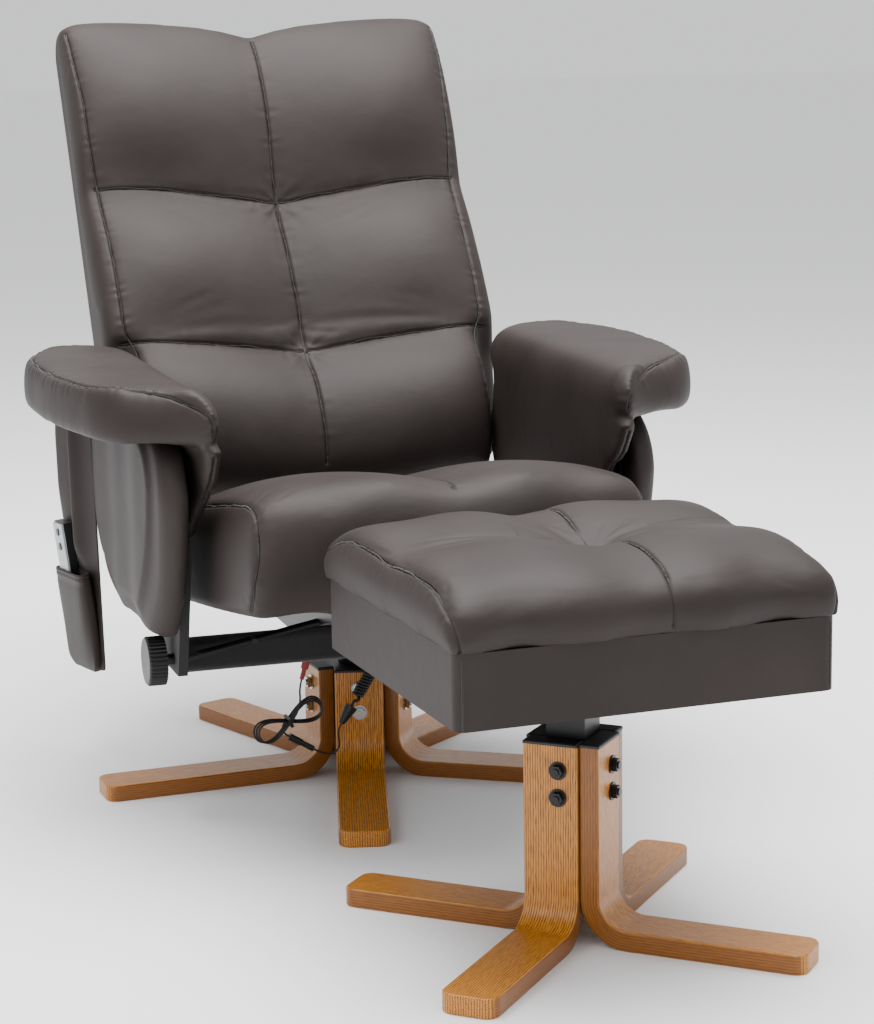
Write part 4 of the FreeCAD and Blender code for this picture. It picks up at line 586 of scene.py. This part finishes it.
def calmed(line, repeats=CALMING):
    """The line with its ends kept and its wobbles taken out."""
    for _ in range(repeats):
        line[1:-1] = (line[:-2] + 2 * line[1:-1] + line[2:]) / 4
    return line


def length_along(line):
    """The line's length up to each of its points."""
    return np.concatenate([[0], np.cumsum(np.linalg.norm(np.diff(line, axis=0), axis=1))])


def along_line(line, run, at):
    """Points of the line at the lengths given."""
    return np.column_stack([np.interp(at, run, line[:, axis]) for axis in range(3)])


def rounded_line(corners):
    """Points every few millimetres along a line whose corners are eased."""
    corners = np.array([tuple(c) for c in corners], float)
    run = length_along(corners)
    at = np.linspace(0, run[-1], max(8, int(run[-1] / LINE_STEP)))
    return calmed(along_line(corners, run, at), LINE_EASING)


def surface_of(piece):
    return BVHTree.FromObject(piece, bpy.context.evaluated_depsgraph_get())


def laid_on(piece, corners, way):
    """The line dropped along a direction onto the piece's surface."""
    tree = surface_of(piece)
    way = Vector(way).normalized()
    hits = [tree.ray_cast(Vector(point) - way * RAY_START, way)[0] for point in rounded_line(corners)]
    return calmed(np.array([tuple(hit) for hit in hits if hit is not None]))


def snapped(piece, corners):
    """The line moved to the nearest points of the piece's surface."""
    tree = surface_of(piece)
    return calmed(np.array([tuple(tree.find_nearest(Vector(point))[0]) for point in rounded_line(corners)]))


def refined(piece, lines, reaches=(0.011, 0.005)):
    """Splits the faces beside seam lines, once for each reach, so that a crease is cut cleanly."""
    for reach in reaches:
        near = nearest_on(points_of(piece), lines)[0] < reach
        work = bmesh.new()
        work.from_mesh(piece.data)
        work.verts.ensure_lookup_table()
        split = [edge for edge in work.edges if near[edge.verts[0].index] and near[edge.verts[1].index]]
        bmesh.ops.subdivide_edges(work, edges=split, cuts=1, use_grid_fill=True)
        work.to_mesh(piece.data)
        work.free()


def nearest_on(co, lines):
    """For each point: how far the nearest line is, how far along it that is, and which line it is."""
    fine, along, which = [], [], []
    for index, line in enumerate(lines):
        run = length_along(line)
        at = np.arange(0, run[-1], FINE_STEP)
        fine.append(along_line(line, run, at))
        along.append(at)
        which.append(np.full(len(at), index))
    fine, along, which = np.concatenate(fine), np.concatenate(along), np.concatenate(which)
    tree = KDTree(len(fine))
    for index, point in enumerate(fine):
        tree.insert(point, index)
    tree.balance()
    low, high = fine.min(0) - NEAR_BOX, fine.max(0) + NEAR_BOX
    far, found = np.full(len(co), FAR_AWAY), np.zeros(len(co), int)
    for index in np.flatnonzero(((co > low) & (co < high)).all(1)):
        _, found[index], far[index] = tree.find(co[index])
    return far, along[found], which[found]


def pressed(piece, lines, profile, pleats=None, left=1.0):
    """Draws the skin in along lines by a profile of (width, depth) pairs.

    pleats is the spacing, reach and depth of small folds across the line, and left is the share of
    the depth that is left at a line's far end.
    """
    co, out = points_of(piece), normals_of(piece)
    far, along, which = nearest_on(co, lines)
    whole = np.array([length_along(line)[-1] for line in lines])[which]
    sink = np.zeros(len(co))
    for width, depth in profile:
        sink += depth * np.clip(1 - far / width, 0, 1) ** 2
    if pleats:
        spacing, reach, depth = pleats
        wander = 2.2 * np.sin(along * 47 + which) + 1.7 * np.sin(along * 131 + 1)
        sink += depth * np.clip(1 - far / reach, 0, 1) * np.cos(2 * math.pi * along / spacing + wander)
    sink *= 1 + (left - 1) * along / whole
    move_points(piece, co - out * sink[:, None])


def eased(piece, where, repeats):
    """Draws the skin even over the points named, as leather pulled over foam."""
    co = points_of(piece)
    edges = np.empty(len(piece.data.edges) * 2, int)
    piece.data.edges.foreach_get("vertices", edges)
    one, two = edges.reshape(-1, 2).T
    size = len(co)
    count = np.maximum(np.bincount(one, minlength=size) + np.bincount(two, minlength=size), 1)
    for _ in range(repeats):
        sums = [np.bincount(one, co[two, axis], size) + np.bincount(two, co[one, axis], size) for axis in range(3)]
        co += EASING * where[:, None] * (np.column_stack(sums) / count[:, None] - co)
    move_points(piece, co)


def joined(work, rows, closed=True):
    """Faces between rows of points, with a cap on the first and the last row where rows are closed on themselves."""
    for lower, upper in zip(rows[:-1], rows[1:]):
        for index in range(len(lower) - (0 if closed else 1)):
            follow = (index + 1) % len(lower)
            work.faces.new((lower[index], lower[follow], upper[follow], upper[index]))
    if closed:
        work.faces.new(rows[0][::-1])
        work.faces.new(rows[-1])


def ring_round(work, centre, side, up, radius):
    """Closed row of points round a centre."""
    turns = [corner * 2 * math.pi / TUBE_SIDES for corner in range(TUBE_SIDES)]
    return [work.verts.new(Vector(centre) + (side * math.cos(t) + up * math.sin(t)) * radius) for t in turns]


def strand(name, centres, ups, radius, body, material):
    """Thin tube through the centres."""
    work = bmesh.new()
    rings = []
    for index, centre in enumerate(centres):
        way = Vector(centres[min(index + 1, len(centres) - 1)]) - Vector(centres[max(index - 1, 0)])
        side = way.cross(Vector(ups[index])).normalized()
        rings.append(ring_round(work, centre, side, side.cross(way.normalized()), radius))
    joined(work, rings)
    made = built(name, work)
    made.data.materials.append(material)
    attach(made, body)


def sewn(name, line, piece, body):
    """Dark line of the seam, lying in its crease: a near-black tube that is painted shadow of the crease."""
    tree = surface_of(piece)
    spots = [tree.find_nearest(Vector(at)) for at in line]
    centres = calmed(np.array([tuple(spot[0]) for spot in spots]))
    strand(name, centres, [spot[1] for spot in spots], SEAM_RADIUS, body, seam_painted_shadow)


def stitched(name, line, piece, body):
    """Row of raised stitches along a line."""
    tree = surface_of(piece)
    run = length_along(line)
    work = bmesh.new()
    for start in np.arange(STITCH_PITCH / 2, run[-1] - STITCH_PITCH, STITCH_PITCH):
        ends = []
        for share in (0.0, 0.5, 1.0):
            at = along_line(line, run, [start + STITCH_LENGTH * share])[0]
            spot, normal, _, _ = tree.find_nearest(Vector(at))
            ends.append(spot + normal * (STITCH_LIFT if share == 0.5 else -STITCH_LIFT))
        way = (ends[2] - ends[0]).normalized()
        side = way.cross(normal).normalized()
        up = side.cross(way)
        girths = [STITCH_RADIUS * girth for girth in STITCH_GIRTHS]
        joined(work, [ring_round(work, spot, side, up, girth) for spot, girth in zip(ends, girths)])
    made = built(name, work)
    made.data.materials.append(thread)
    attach(made, body)


def upholster(piece, body, replaced):
    piece.data.shade_smooth()
    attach(piece, body)
    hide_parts(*replaced)


def ramp(value, start, length):
    """0 before the start, 1 once past the length."""
    return np.clip((value - start) / length, 0, 1)


def measured(co, origin, way):
    """How far along a direction each point lies from the origin."""
    return (co - np.array(origin)) @ np.array(way)


def both_sides(corners, place):
    """A line of corners on the part's right side, and its mirror image on the left."""
    return [[place(side * a, b, c) for a, b, c in corners] for side in (-1, 1)]


# Creases as pairs of width and depth, pleats as spacing, reach and depth, in metres
SEAM_HOLD = 0.008
BACK_CREASE, BACK_PLEATS = ((0.02, 0.0016), (0.005, 0.0032)), (0.034, 0.022, 0.0003)
BACK_RIM_CREASE, BACK_RIM_PLEATS = ((0.014, 0.0012), (0.0045, 0.0028)), (0.023, 0.018, 0.0004)
CREASE, SEAT_PLEATS = ((0.02, 0.0014), (0.005, 0.003)), (0.04, 0.03, 0.0005)
RIM_CREASE, SEAT_RIM_PLEATS = ((0.014, 0.0012), (0.0045, 0.0026)), (0.026, 0.02, 0.0004)
LID_RIM_PLEATS = (0.025, 0.02, 0.0004)
ARM_CREASE, ARM_PLEATS = ((0.012, 0.001), (0.0045, 0.0026)), (0.026, 0.024, 0.0005)
LEAF_CREASE, LEAF_PLEATS = ((0.01, 0.001), (0.004, 0.002)), (0.034, 0.02, 0.0003)
PULL_CREASE = ((0.016, 0.0016),)
FOLD_CREASE = ((0.03, 0.0022), (0.009, 0.0034))
TUFT_CREASE = ((0.085, 0.008), (0.035, 0.006))

# Back cushion: six pillows between a centre seam and two cross seams
BACK_SEAMS = (
    [(0.0, 0.02), (0.002, 0.2), (-0.002, 0.44), (0.0, 0.7)],
    [(-0.262, 0.213), (-0.13, 0.207), (0.0, 0.1985), (0.13, 0.207), (0.262, 0.213)],
    [(-0.262, 0.461), (-0.15, 0.453), (0.0, 0.4375), (0.15, 0.453), (0.262, 0.461)],
)
BACK_RIM = [(0.246, 0.02, 0.075), (0.25, 0.107, 0.12), (0.256, 0.211, 0.103), (0.258, 0.335, 0.096)]
BACK_RIM += [(0.26, 0.459, 0.068), (0.268, 0.59, 0.09), (0.276, 0.68, 0.08), (0.27, 0.71, 0.06)]
# where seams cross the hide is pulled into short folds, each given by its angle in degrees and its reach
PULLS = ((28, 0.07), (62, 0.05), (118, 0.06), (150, 0.05), (205, 0.06), (240, 0.05), (300, 0.06), (335, 0.07))
PULL_START = 0.006

back = skin("back_cushion_leather", ["back_cushion"], voxel=0.0065, smoothing=5)
co = points_of(back)
out, up = (measured(co, on_back(0, 0, 0), way) for way in (BACK_OUT, BACK_UP))
inner = ramp(-abs(co[:, 0]), -0.25, 0.02) * ramp(-up, -0.69, 0.03)
eased(back, ramp(out, 0.02, 0.03) * (0.15 + 0.85 * inner), 80)
back_lines = [laid_on(back, [on_back(*p) for p in corners], -BACK_OUT) for corners in BACK_SEAMS]
back_rims = [snapped(back, corners) for corners in both_sides(BACK_RIM, on_back)]
# the cloth is held at its rear, at its sides between the arms, at its foot and along its seams
held = (out < 0.03) | ((abs(co[:, 0]) > 0.235) & (co[:, 2] < 0.6)) | (up < 0.05)
held |= nearest_on(co, back_lines + back_rims)[0] < SEAM_HOLD
plumped(back, held, cap=0.006)
settled(back, "SUBSURF", levels=1, render_levels=1)
refined(back, back_lines + back_rims)
pulls = []
for seam_height in (0.1985, 0.4375):
    for angle, reach in PULLS:
        way = (math.cos(math.radians(angle)), math.sin(math.radians(angle)))
        ends = [(way[0] * share, seam_height + way[1] * share) for share in (PULL_START, reach)]
        pulls.append(laid_on(back, [on_back(*p) for p in ends], -BACK_OUT))
pressed(back, pulls, PULL_CREASE, left=0)
pressed(back, back_lines, BACK_CREASE, BACK_PLEATS)
pressed(back, back_rims, BACK_RIM_CREASE, BACK_RIM_PLEATS)
for index, line in enumerate(back_lines + back_rims):
    sewn("back_seam_shadow_%d" % (index + 1), line, back, "back")
upholster(back, "back", ["back_cushion"])

# Seat cushion with a rolled front, one centre seam and a seam round each side
SEAT_SEAM = [(0, -0.44), (0, -0.2), (0, 0.1)]
SEAT_RIM = [(0.244, 0.09, -0.012), (0.246, -0.16, -0.004), (0.246, -0.38, 0.0), (0.246, -0.43, -0.01)]
SEAT_RIM += [(0.246, -0.452, -0.06), (0.246, -0.435, -0.11), (0.245, -0.406, -0.135)]

seat = skin("seat_cushion_leather", ["seat_cushion"], voxel=0.0065, smoothing=5)
co = points_of(seat)
out = measured(co, on_seat(0, 0, 0), SEAT_OUT)
eased(seat, ramp(out, -0.1, 0.05), 90)
seat_lines = [laid_on(seat, [on_seat(*p) for p in SEAT_SEAM], -SEAT_OUT)]
seat_rims = [snapped(seat, corners) for corners in both_sides(SEAT_RIM, on_seat)]
# the cloth is held at its sides, underneath, along the centre seam and under the backrest
held = (abs(co[:, 0]) > 0.236) | (out < -0.1) | (nearest_on(co, seat_lines)[0] < SEAM_HOLD) | (co[:, 1] > 0.24)
plumped(seat, held, cap=0.005)
settled(seat, "SUBSURF", levels=1, render_levels=1)
refined(seat, seat_lines + seat_rims)
pressed(seat, seat_lines, CREASE, SEAT_PLEATS)
pressed(seat, seat_rims, RIM_CREASE, SEAT_RIM_PLEATS)
for index, line in enumerate(seat_lines + seat_rims):
    sewn("seat_seam_shadow_%d" % (index + 1), line, seat, "seat")
upholster(seat, "seat", ["seat_cushion"])

# Footstool lid cushion: one dome drawn down to a deep tuft, with seams and folds that run out from it
TUFT = (0.018, 0.0, 0.45)
TUFT_SLIT = ((TUFT[0] - 0.014, 0.005), (TUFT[0] + 0.014, -0.005))
LID_SEAMS = (
    [TUFT, (0.022, 0.05, 0.45), (0.034, 0.12, 0.45), (0.036, 0.19, 0.45), (0.036, 0.21, 0.42)],
    [TUFT, (0.032, -0.05, 0.45), (0.03, -0.12, 0.45), (0.024, -0.18, 0.445), (0.02, -0.215, 0.42)]
    + [(0.02, -0.215, 0.385)],
)
LID_RIM = [(0.208, -0.206, 0.383), (0.213, -0.2, 0.41), (0.214, -0.13, 0.437), (0.214, 0.0, 0.436)]
LID_RIM += [(0.214, 0.13, 0.437), (0.213, 0.2, 0.41), (0.208, 0.206, 0.383)]
# folds round the tuft, by angle in degrees and reach
FOLDS = ((8, 0.19), (27, 0.1), (48, 0.06), (112, 0.07), (140, 0.11), (172, 0.2), (205, 0.08), (232, 0.12))
FOLDS += ((252, 0.06), (298, 0.07), (318, 0.14), (342, 0.1))
LID_SWELL = 0.004
LID_TUCK = 0.003
LID_DROP = 0.005

lid = skin("stool_cushion_leather", ["stool_lid_cushion"], voxel=0.0055, smoothing=4)
co = points_of(lid)
eased(lid, np.maximum(ramp(co[:, 2], 0.38, 0.02), 0.05), 60)
lid_lines = [snapped(lid, [on_stool(*p) for p in corners]) for corners in LID_SEAMS]
lid_rims = [snapped(lid, corners) for corners in both_sides(LID_RIM, on_stool)]
# the cloth is held at its foot, at the hinged edge and along its seams
held = (co[:, 2] < 0.4) | (measured(co, on_stool(0, 0.19, 0), STOOL_Y) > 0)
held |= nearest_on(co, lid_lines + lid_rims)[0] < SEAM_HOLD
plumped(lid, held, cap=0.006)
settled(lid, "SUBSURF", levels=1, render_levels=1)
folds = []
for angle, reach in FOLDS:
    way = (math.cos(math.radians(angle)), math.sin(math.radians(angle)))
    ends = [(TUFT[0] + way[0] * share, TUFT[1] + way[1] * share) for share in (PULL_START, reach)]
    folds.append(laid_on(lid, [on_stool(*p) for p in ends], (0, 0, -1)))
pressed(lid, [laid_on(lid, [on_stool(*p) for p in TUFT_SLIT], (0, 0, -1))], TUFT_CREASE)
refined(lid, lid_lines + lid_rims + folds)
pressed(lid, folds, FOLD_CREASE, left=0)
pressed(lid, lid_lines, CREASE)
pressed(lid, lid_rims, RIM_CREASE, LID_RIM_PLEATS)
# its sides swell out, and its foot is tucked in and lies level on the box
co, out = points_of(lid), normals_of(lid)
swell = LID_SWELL * np.sin(math.pi * ramp(co[:, 2], 0.38, 0.05))
tuck = ramp(-co[:, 2], -0.391, 0.014)
foot = min(corner[2] for corner in nodes["stool_lid_cushion"].bound_box)
co[:, :2] += out[:, :2] * (swell - LID_TUCK * tuck)[:, None]
co[:, 2] = np.maximum(co[:, 2] - LID_DROP * tuck, foot)
move_points(lid, co)
for index, line in enumerate(lid_lines + lid_rims):
    sewn("lid_seam_shadow_%d" % (index + 1), line, lid, "lid")
upholster(lid, "lid", ["stool_lid_cushion"])

# Corner seams of the footstool's box, drawn as near-black tubes: painted shadow of the seams
box_surface = surface_of(nodes["stool_box"])
for index, across in enumerate((-0.21, 0.21)):
    found = [box_surface.find_nearest(on_stool(across, -0.21, height)) for height in np.linspace(0.288, 0.372, 12)]
    centres, ups = [spot[0] for spot in found], [spot[1] for spot in found]
    strand("box_seam_shadow_%d" % (index + 1), centres, ups, SEAM_RADIUS, "stool", seam_painted_shadow)

# Arms: one hide over the pad and down its inner face, a sewn-on outer band, and a hanging outer leaf
BAND_SEAM = [(0.3, 0.222, 0.562), (0.37, 0.19, 0.562), (0.4, 0.12, 0.562), (0.409, 0.03, 0.562), (0.404, -0.09, 0.562)]
BAND_SEAM += [(0.384, -0.2, 0.562), (0.356, -0.24, 0.561), (0.32, -0.267, 0.557), (0.29, -0.29, 0.551)]
BAND_SEAM += [(0.269, -0.314, 0.544), (0.261, -0.334, 0.534), (0.256, -0.336, 0.512)]
STITCHES = [(a - 0.003, b + 0.006, c + 0.003) for a, b, c in BAND_SEAM[4:-1]]
FLAP_SEAM = [(0.259, -0.325, 0.49), (0.259, -0.3, 0.44), (0.259, -0.27, 0.4)]
LEAF_RIM = [(0.284, -0.2, 0.488), (0.284, -0.245, 0.43), (0.284, -0.25, 0.4)]
LEAF_RIM += [(0.284, -0.238, 0.333), (0.284, -0.203, 0.29), (0.284, -0.15, 0.249)]
LEAF_WAVE = 0.0018
LEAF_WAVE_LENGTH = 0.13

for side, hand in ((-1, "right"), (1, "left")):
    band, double, flap, leaf_rim = (
        [(side * a, b + CHAIR_Y, c) for a, b, c in corners] for corners in (BAND_SEAM, STITCHES, FLAP_SEAM, LEAF_RIM)
    )
    replaced = ["arm_pad_" + hand, "arm_inner_panel_" + hand]
    arm = skin("arm_leather_" + hand, replaced, voxel=0.005, smoothing=4)
    co = points_of(arm)
    # the hide rolls over the inner edge, and rounds the outer one
    roll = ramp(-abs(co[:, 0]), -0.35, 0.05) * ramp(-abs(co[:, 1] - CHAIR_Y + 0.04), -0.25, 0.03)
    eased(arm, roll * ramp(co[:, 2], 0.43, 0.02), 70)
    eased(arm, ramp(abs(co[:, 0]), 0.36, 0.03) * (co[:, 2] > 0.47), 18)
    settled(arm, "SUBSURF", levels=1, render_levels=1)
    seam, flap = snapped(arm, band), snapped(arm, flap)
    refined(arm, [seam, flap])
    pressed(arm, [seam, flap], ARM_CREASE, ARM_PLEATS)
    sewn("arm_seam_shadow_" + hand, seam, arm, "seat")
    stitched("arm_stitches_" + hand, snapped(arm, double), arm, "seat")
    upholster(arm, "seat", replaced)
    leaf = skin("arm_leaf_" + hand, ["arm_outer_panel_" + hand], voxel=0.005, smoothing=3)
    co = points_of(leaf)
    # two soft waves run down the leaf, where the hide hangs free of its board
    wave = np.cos((co[:, 1] - CHAIR_Y + 0.17) / LEAF_WAVE_LENGTH * 2 * math.pi) * ramp(abs(co[:, 0]), 0.3, 0.02)
    co[:, 0] += side * LEAF_WAVE * wave
    move_points(leaf, co)
    settled(leaf, "SUBSURF", levels=1, render_levels=1)
    rim = snapped(leaf, leaf_rim)
    refined(leaf, [rim])
    pressed(leaf, [rim], LEAF_CREASE, LEAF_PLEATS)
    sewn("leaf_seam_shadow_" + hand, rim, leaf, "seat")
    upholster(leaf, "seat", ["arm_outer_panel_" + hand])

# Side pocket: a sewn pouch with a hemmed mouth on a folded strap of the same hide
POCKET_AT = Vector((-0.3374, CHAIR_Y + 0.1875, 0.2615))
POCKET_TURNS = ((-3.9, "X"), (7.0, "Z"))
POUCH_LEAN = 5.9
POUCH_DEEP = 0.136
POUCH_HALF = 0.06
POUCH_THICK = 0.0205
POUCH_OFF_STRAP = 0.0102
POUCH_POINTS = 48
POUCH_BELLY = 0.003
POUCH_SAG = 0.0016
# the pouch grows narrower and thinner over its foot
FOOT_START = 0.86
FOOT_NARROWER = 0.016
FOOT_THINNER = 0.008
# heights and insets of the rings in the hem and down the pouch's inside, and how far down the others lie
HEM = ((0.0, 0.0009), (-0.0015, 0.0), (-0.004, 0.0), (-0.0048, 0.0009), (-0.0056, 0.0), (-0.0105, 0.0))
HEM += ((-0.0113, 0.0009),)
INSIDE = ((0.0, 0.0028), (-0.02, 0.0028), (-0.06, 0.0028), (-0.11, 0.0028))
DROPS = (1.0, 0.99, 0.97, 0.94, 0.9, 0.86, 0.8, 0.7, 0.58, 0.46, 0.34, 0.22, 0.13)
# the strap's folds, as pairs of run across it and distance outward
STRAP_FOLD = ((0.046, 0.009), (0.028, 0.006), (0.01, 0.003), (0.0, 0.0), (-0.01, 0.006), (-0.018, 0.0125))
STRAP_FOLD += ((-0.026, 0.0105), (-0.034, 0.002), (-0.044, -0.003), (-0.056, -0.006), (-0.068, -0.0075))
STRAP_FOOT = -0.133
STRAP_LENGTH = 0.372
STRAP_ROWS = 33
STRAP_THICK = 0.0016
STRAP_SEWN = 0.85


def on_pocket(run, high, out, lean=0.0):
    """A place by its run along the chair, height over the pouch's mouth and distance outward."""
    local = Vector((-out, run, high))
    for angle, axis in ((-lean, "Y"), *POCKET_TURNS):
        local = Matrix.Rotation(math.radians(angle), 3, axis) @ local
    return POCKET_AT + local


def lofted(name, rows, closed):
    """Leather skin over rows of places."""
    work = bmesh.new()
    joined(work, [[work.verts.new(place) for place in row] for row in rows], closed)
    made = built(name, work)
    made.data.materials.append(leather)
    made.data.shade_smooth()
    return made


def pouch_ring(high, inset, drop):
    """Flattened ring of the pouch: drop runs from 0 at the mouth to 1 at the foot."""
    foot = (max(0.0, drop - FOOT_START) / (1 - FOOT_START)) ** 2
    half = POUCH_HALF - inset - FOOT_NARROWER * foot
    deep = POUCH_THICK - 2 * inset + POUCH_BELLY * math.sin(math.pi * drop) - FOOT_THINNER * foot
    ring = []
    for index in range(POUCH_POINTS):
        turn = 2 * math.pi * index / POUCH_POINTS
        wide = abs(math.cos(turn)) ** 0.35 * math.copysign(1, math.cos(turn))
        thick = abs(math.sin(turn)) ** 0.6 * math.copysign(1, math.sin(turn))
        sag = POUCH_SAG * math.sin(turn * 3 + drop * 5) * drop
        ring.append(on_pocket(half * wide, high, POUCH_OFF_STRAP + deep / 2 * thick + sag, POUCH_LEAN))
    return ring


rows = [pouch_ring(-POUCH_DEEP * drop, 0.0, drop) for drop in DROPS]
rows += [pouch_ring(high, inset, -high / POUCH_DEEP) for high, inset in HEM[::-1] + INSIDE]
pouch = lofted("pocket_pouch", rows, True)
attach(pouch, "seat")

rows = []
for step in range(STRAP_ROWS):
    share = step / (STRAP_ROWS - 1)
    high = STRAP_FOOT + STRAP_LENGTH * share
    # the folds close up where the strap is sewn in under the arm, and stay clear of the pouch and the handset
    slack = 1.0 - 3 * max(share - STRAP_SEWN, 0.0)
    row = []
    for run, fold in STRAP_FOLD:
        room = -0.0006 + (0.09 if run > -0.008 else 0.4) * max(high - 0.002, 0.0)
        row.append(on_pocket(run, high, min(fold * slack, room)))
    rows.append(row)
strap = lofted("pocket_strap", rows, False)
settled(strap, "SUBSURF", levels=2, render_levels=2)
settled(strap, "SOLIDIFY", thickness=STRAP_THICK, offset=0)
strap.data.shade_smooth()
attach(strap, "seat")
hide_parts("side_pocket")

# Floor and light
FLOOR_HALF = 40
work = bmesh.new()
bmesh.ops.create_grid(work, x_segments=2, y_segments=2, size=FLOOR_HALF)
floor = built("floor", work)
floor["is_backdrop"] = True
floor.data.materials.append(finish("floor_paint_pale", "#FAFAFA", 0.85)[0])

world = bpy.data.worlds.new("studio")
bpy.context.scene.world = world
world.use_nodes = True
sky = world.node_tree.nodes["Background"]
plug(world.node_tree, sky, {"Color": linear("#F4F5F7"), "Strength": 1.05})

LIGHT_AIM = Vector((0, 0, 0.45))
# name, place, width in metres, power in watts
SOFTBOXES = (
    ("key", (-2.6, -1.6, 2.9), 1.8, 24),
    ("top", (0.1, 0.2, 3.4), 3.0, 300),
)
for name, spot, size, power in SOFTBOXES:
    light = bpy.data.lights.new(name, "AREA")
    light.size = size
    light.energy = power
    lamp = bpy.data.objects.new(name, light)
    lamp.location = spot
    lamp.rotation_euler = (LIGHT_AIM - Vector(spot)).to_track_quat("-Z", "Y").to_euler()
    bpy.context.collection.objects.link(lamp)

low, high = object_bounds()
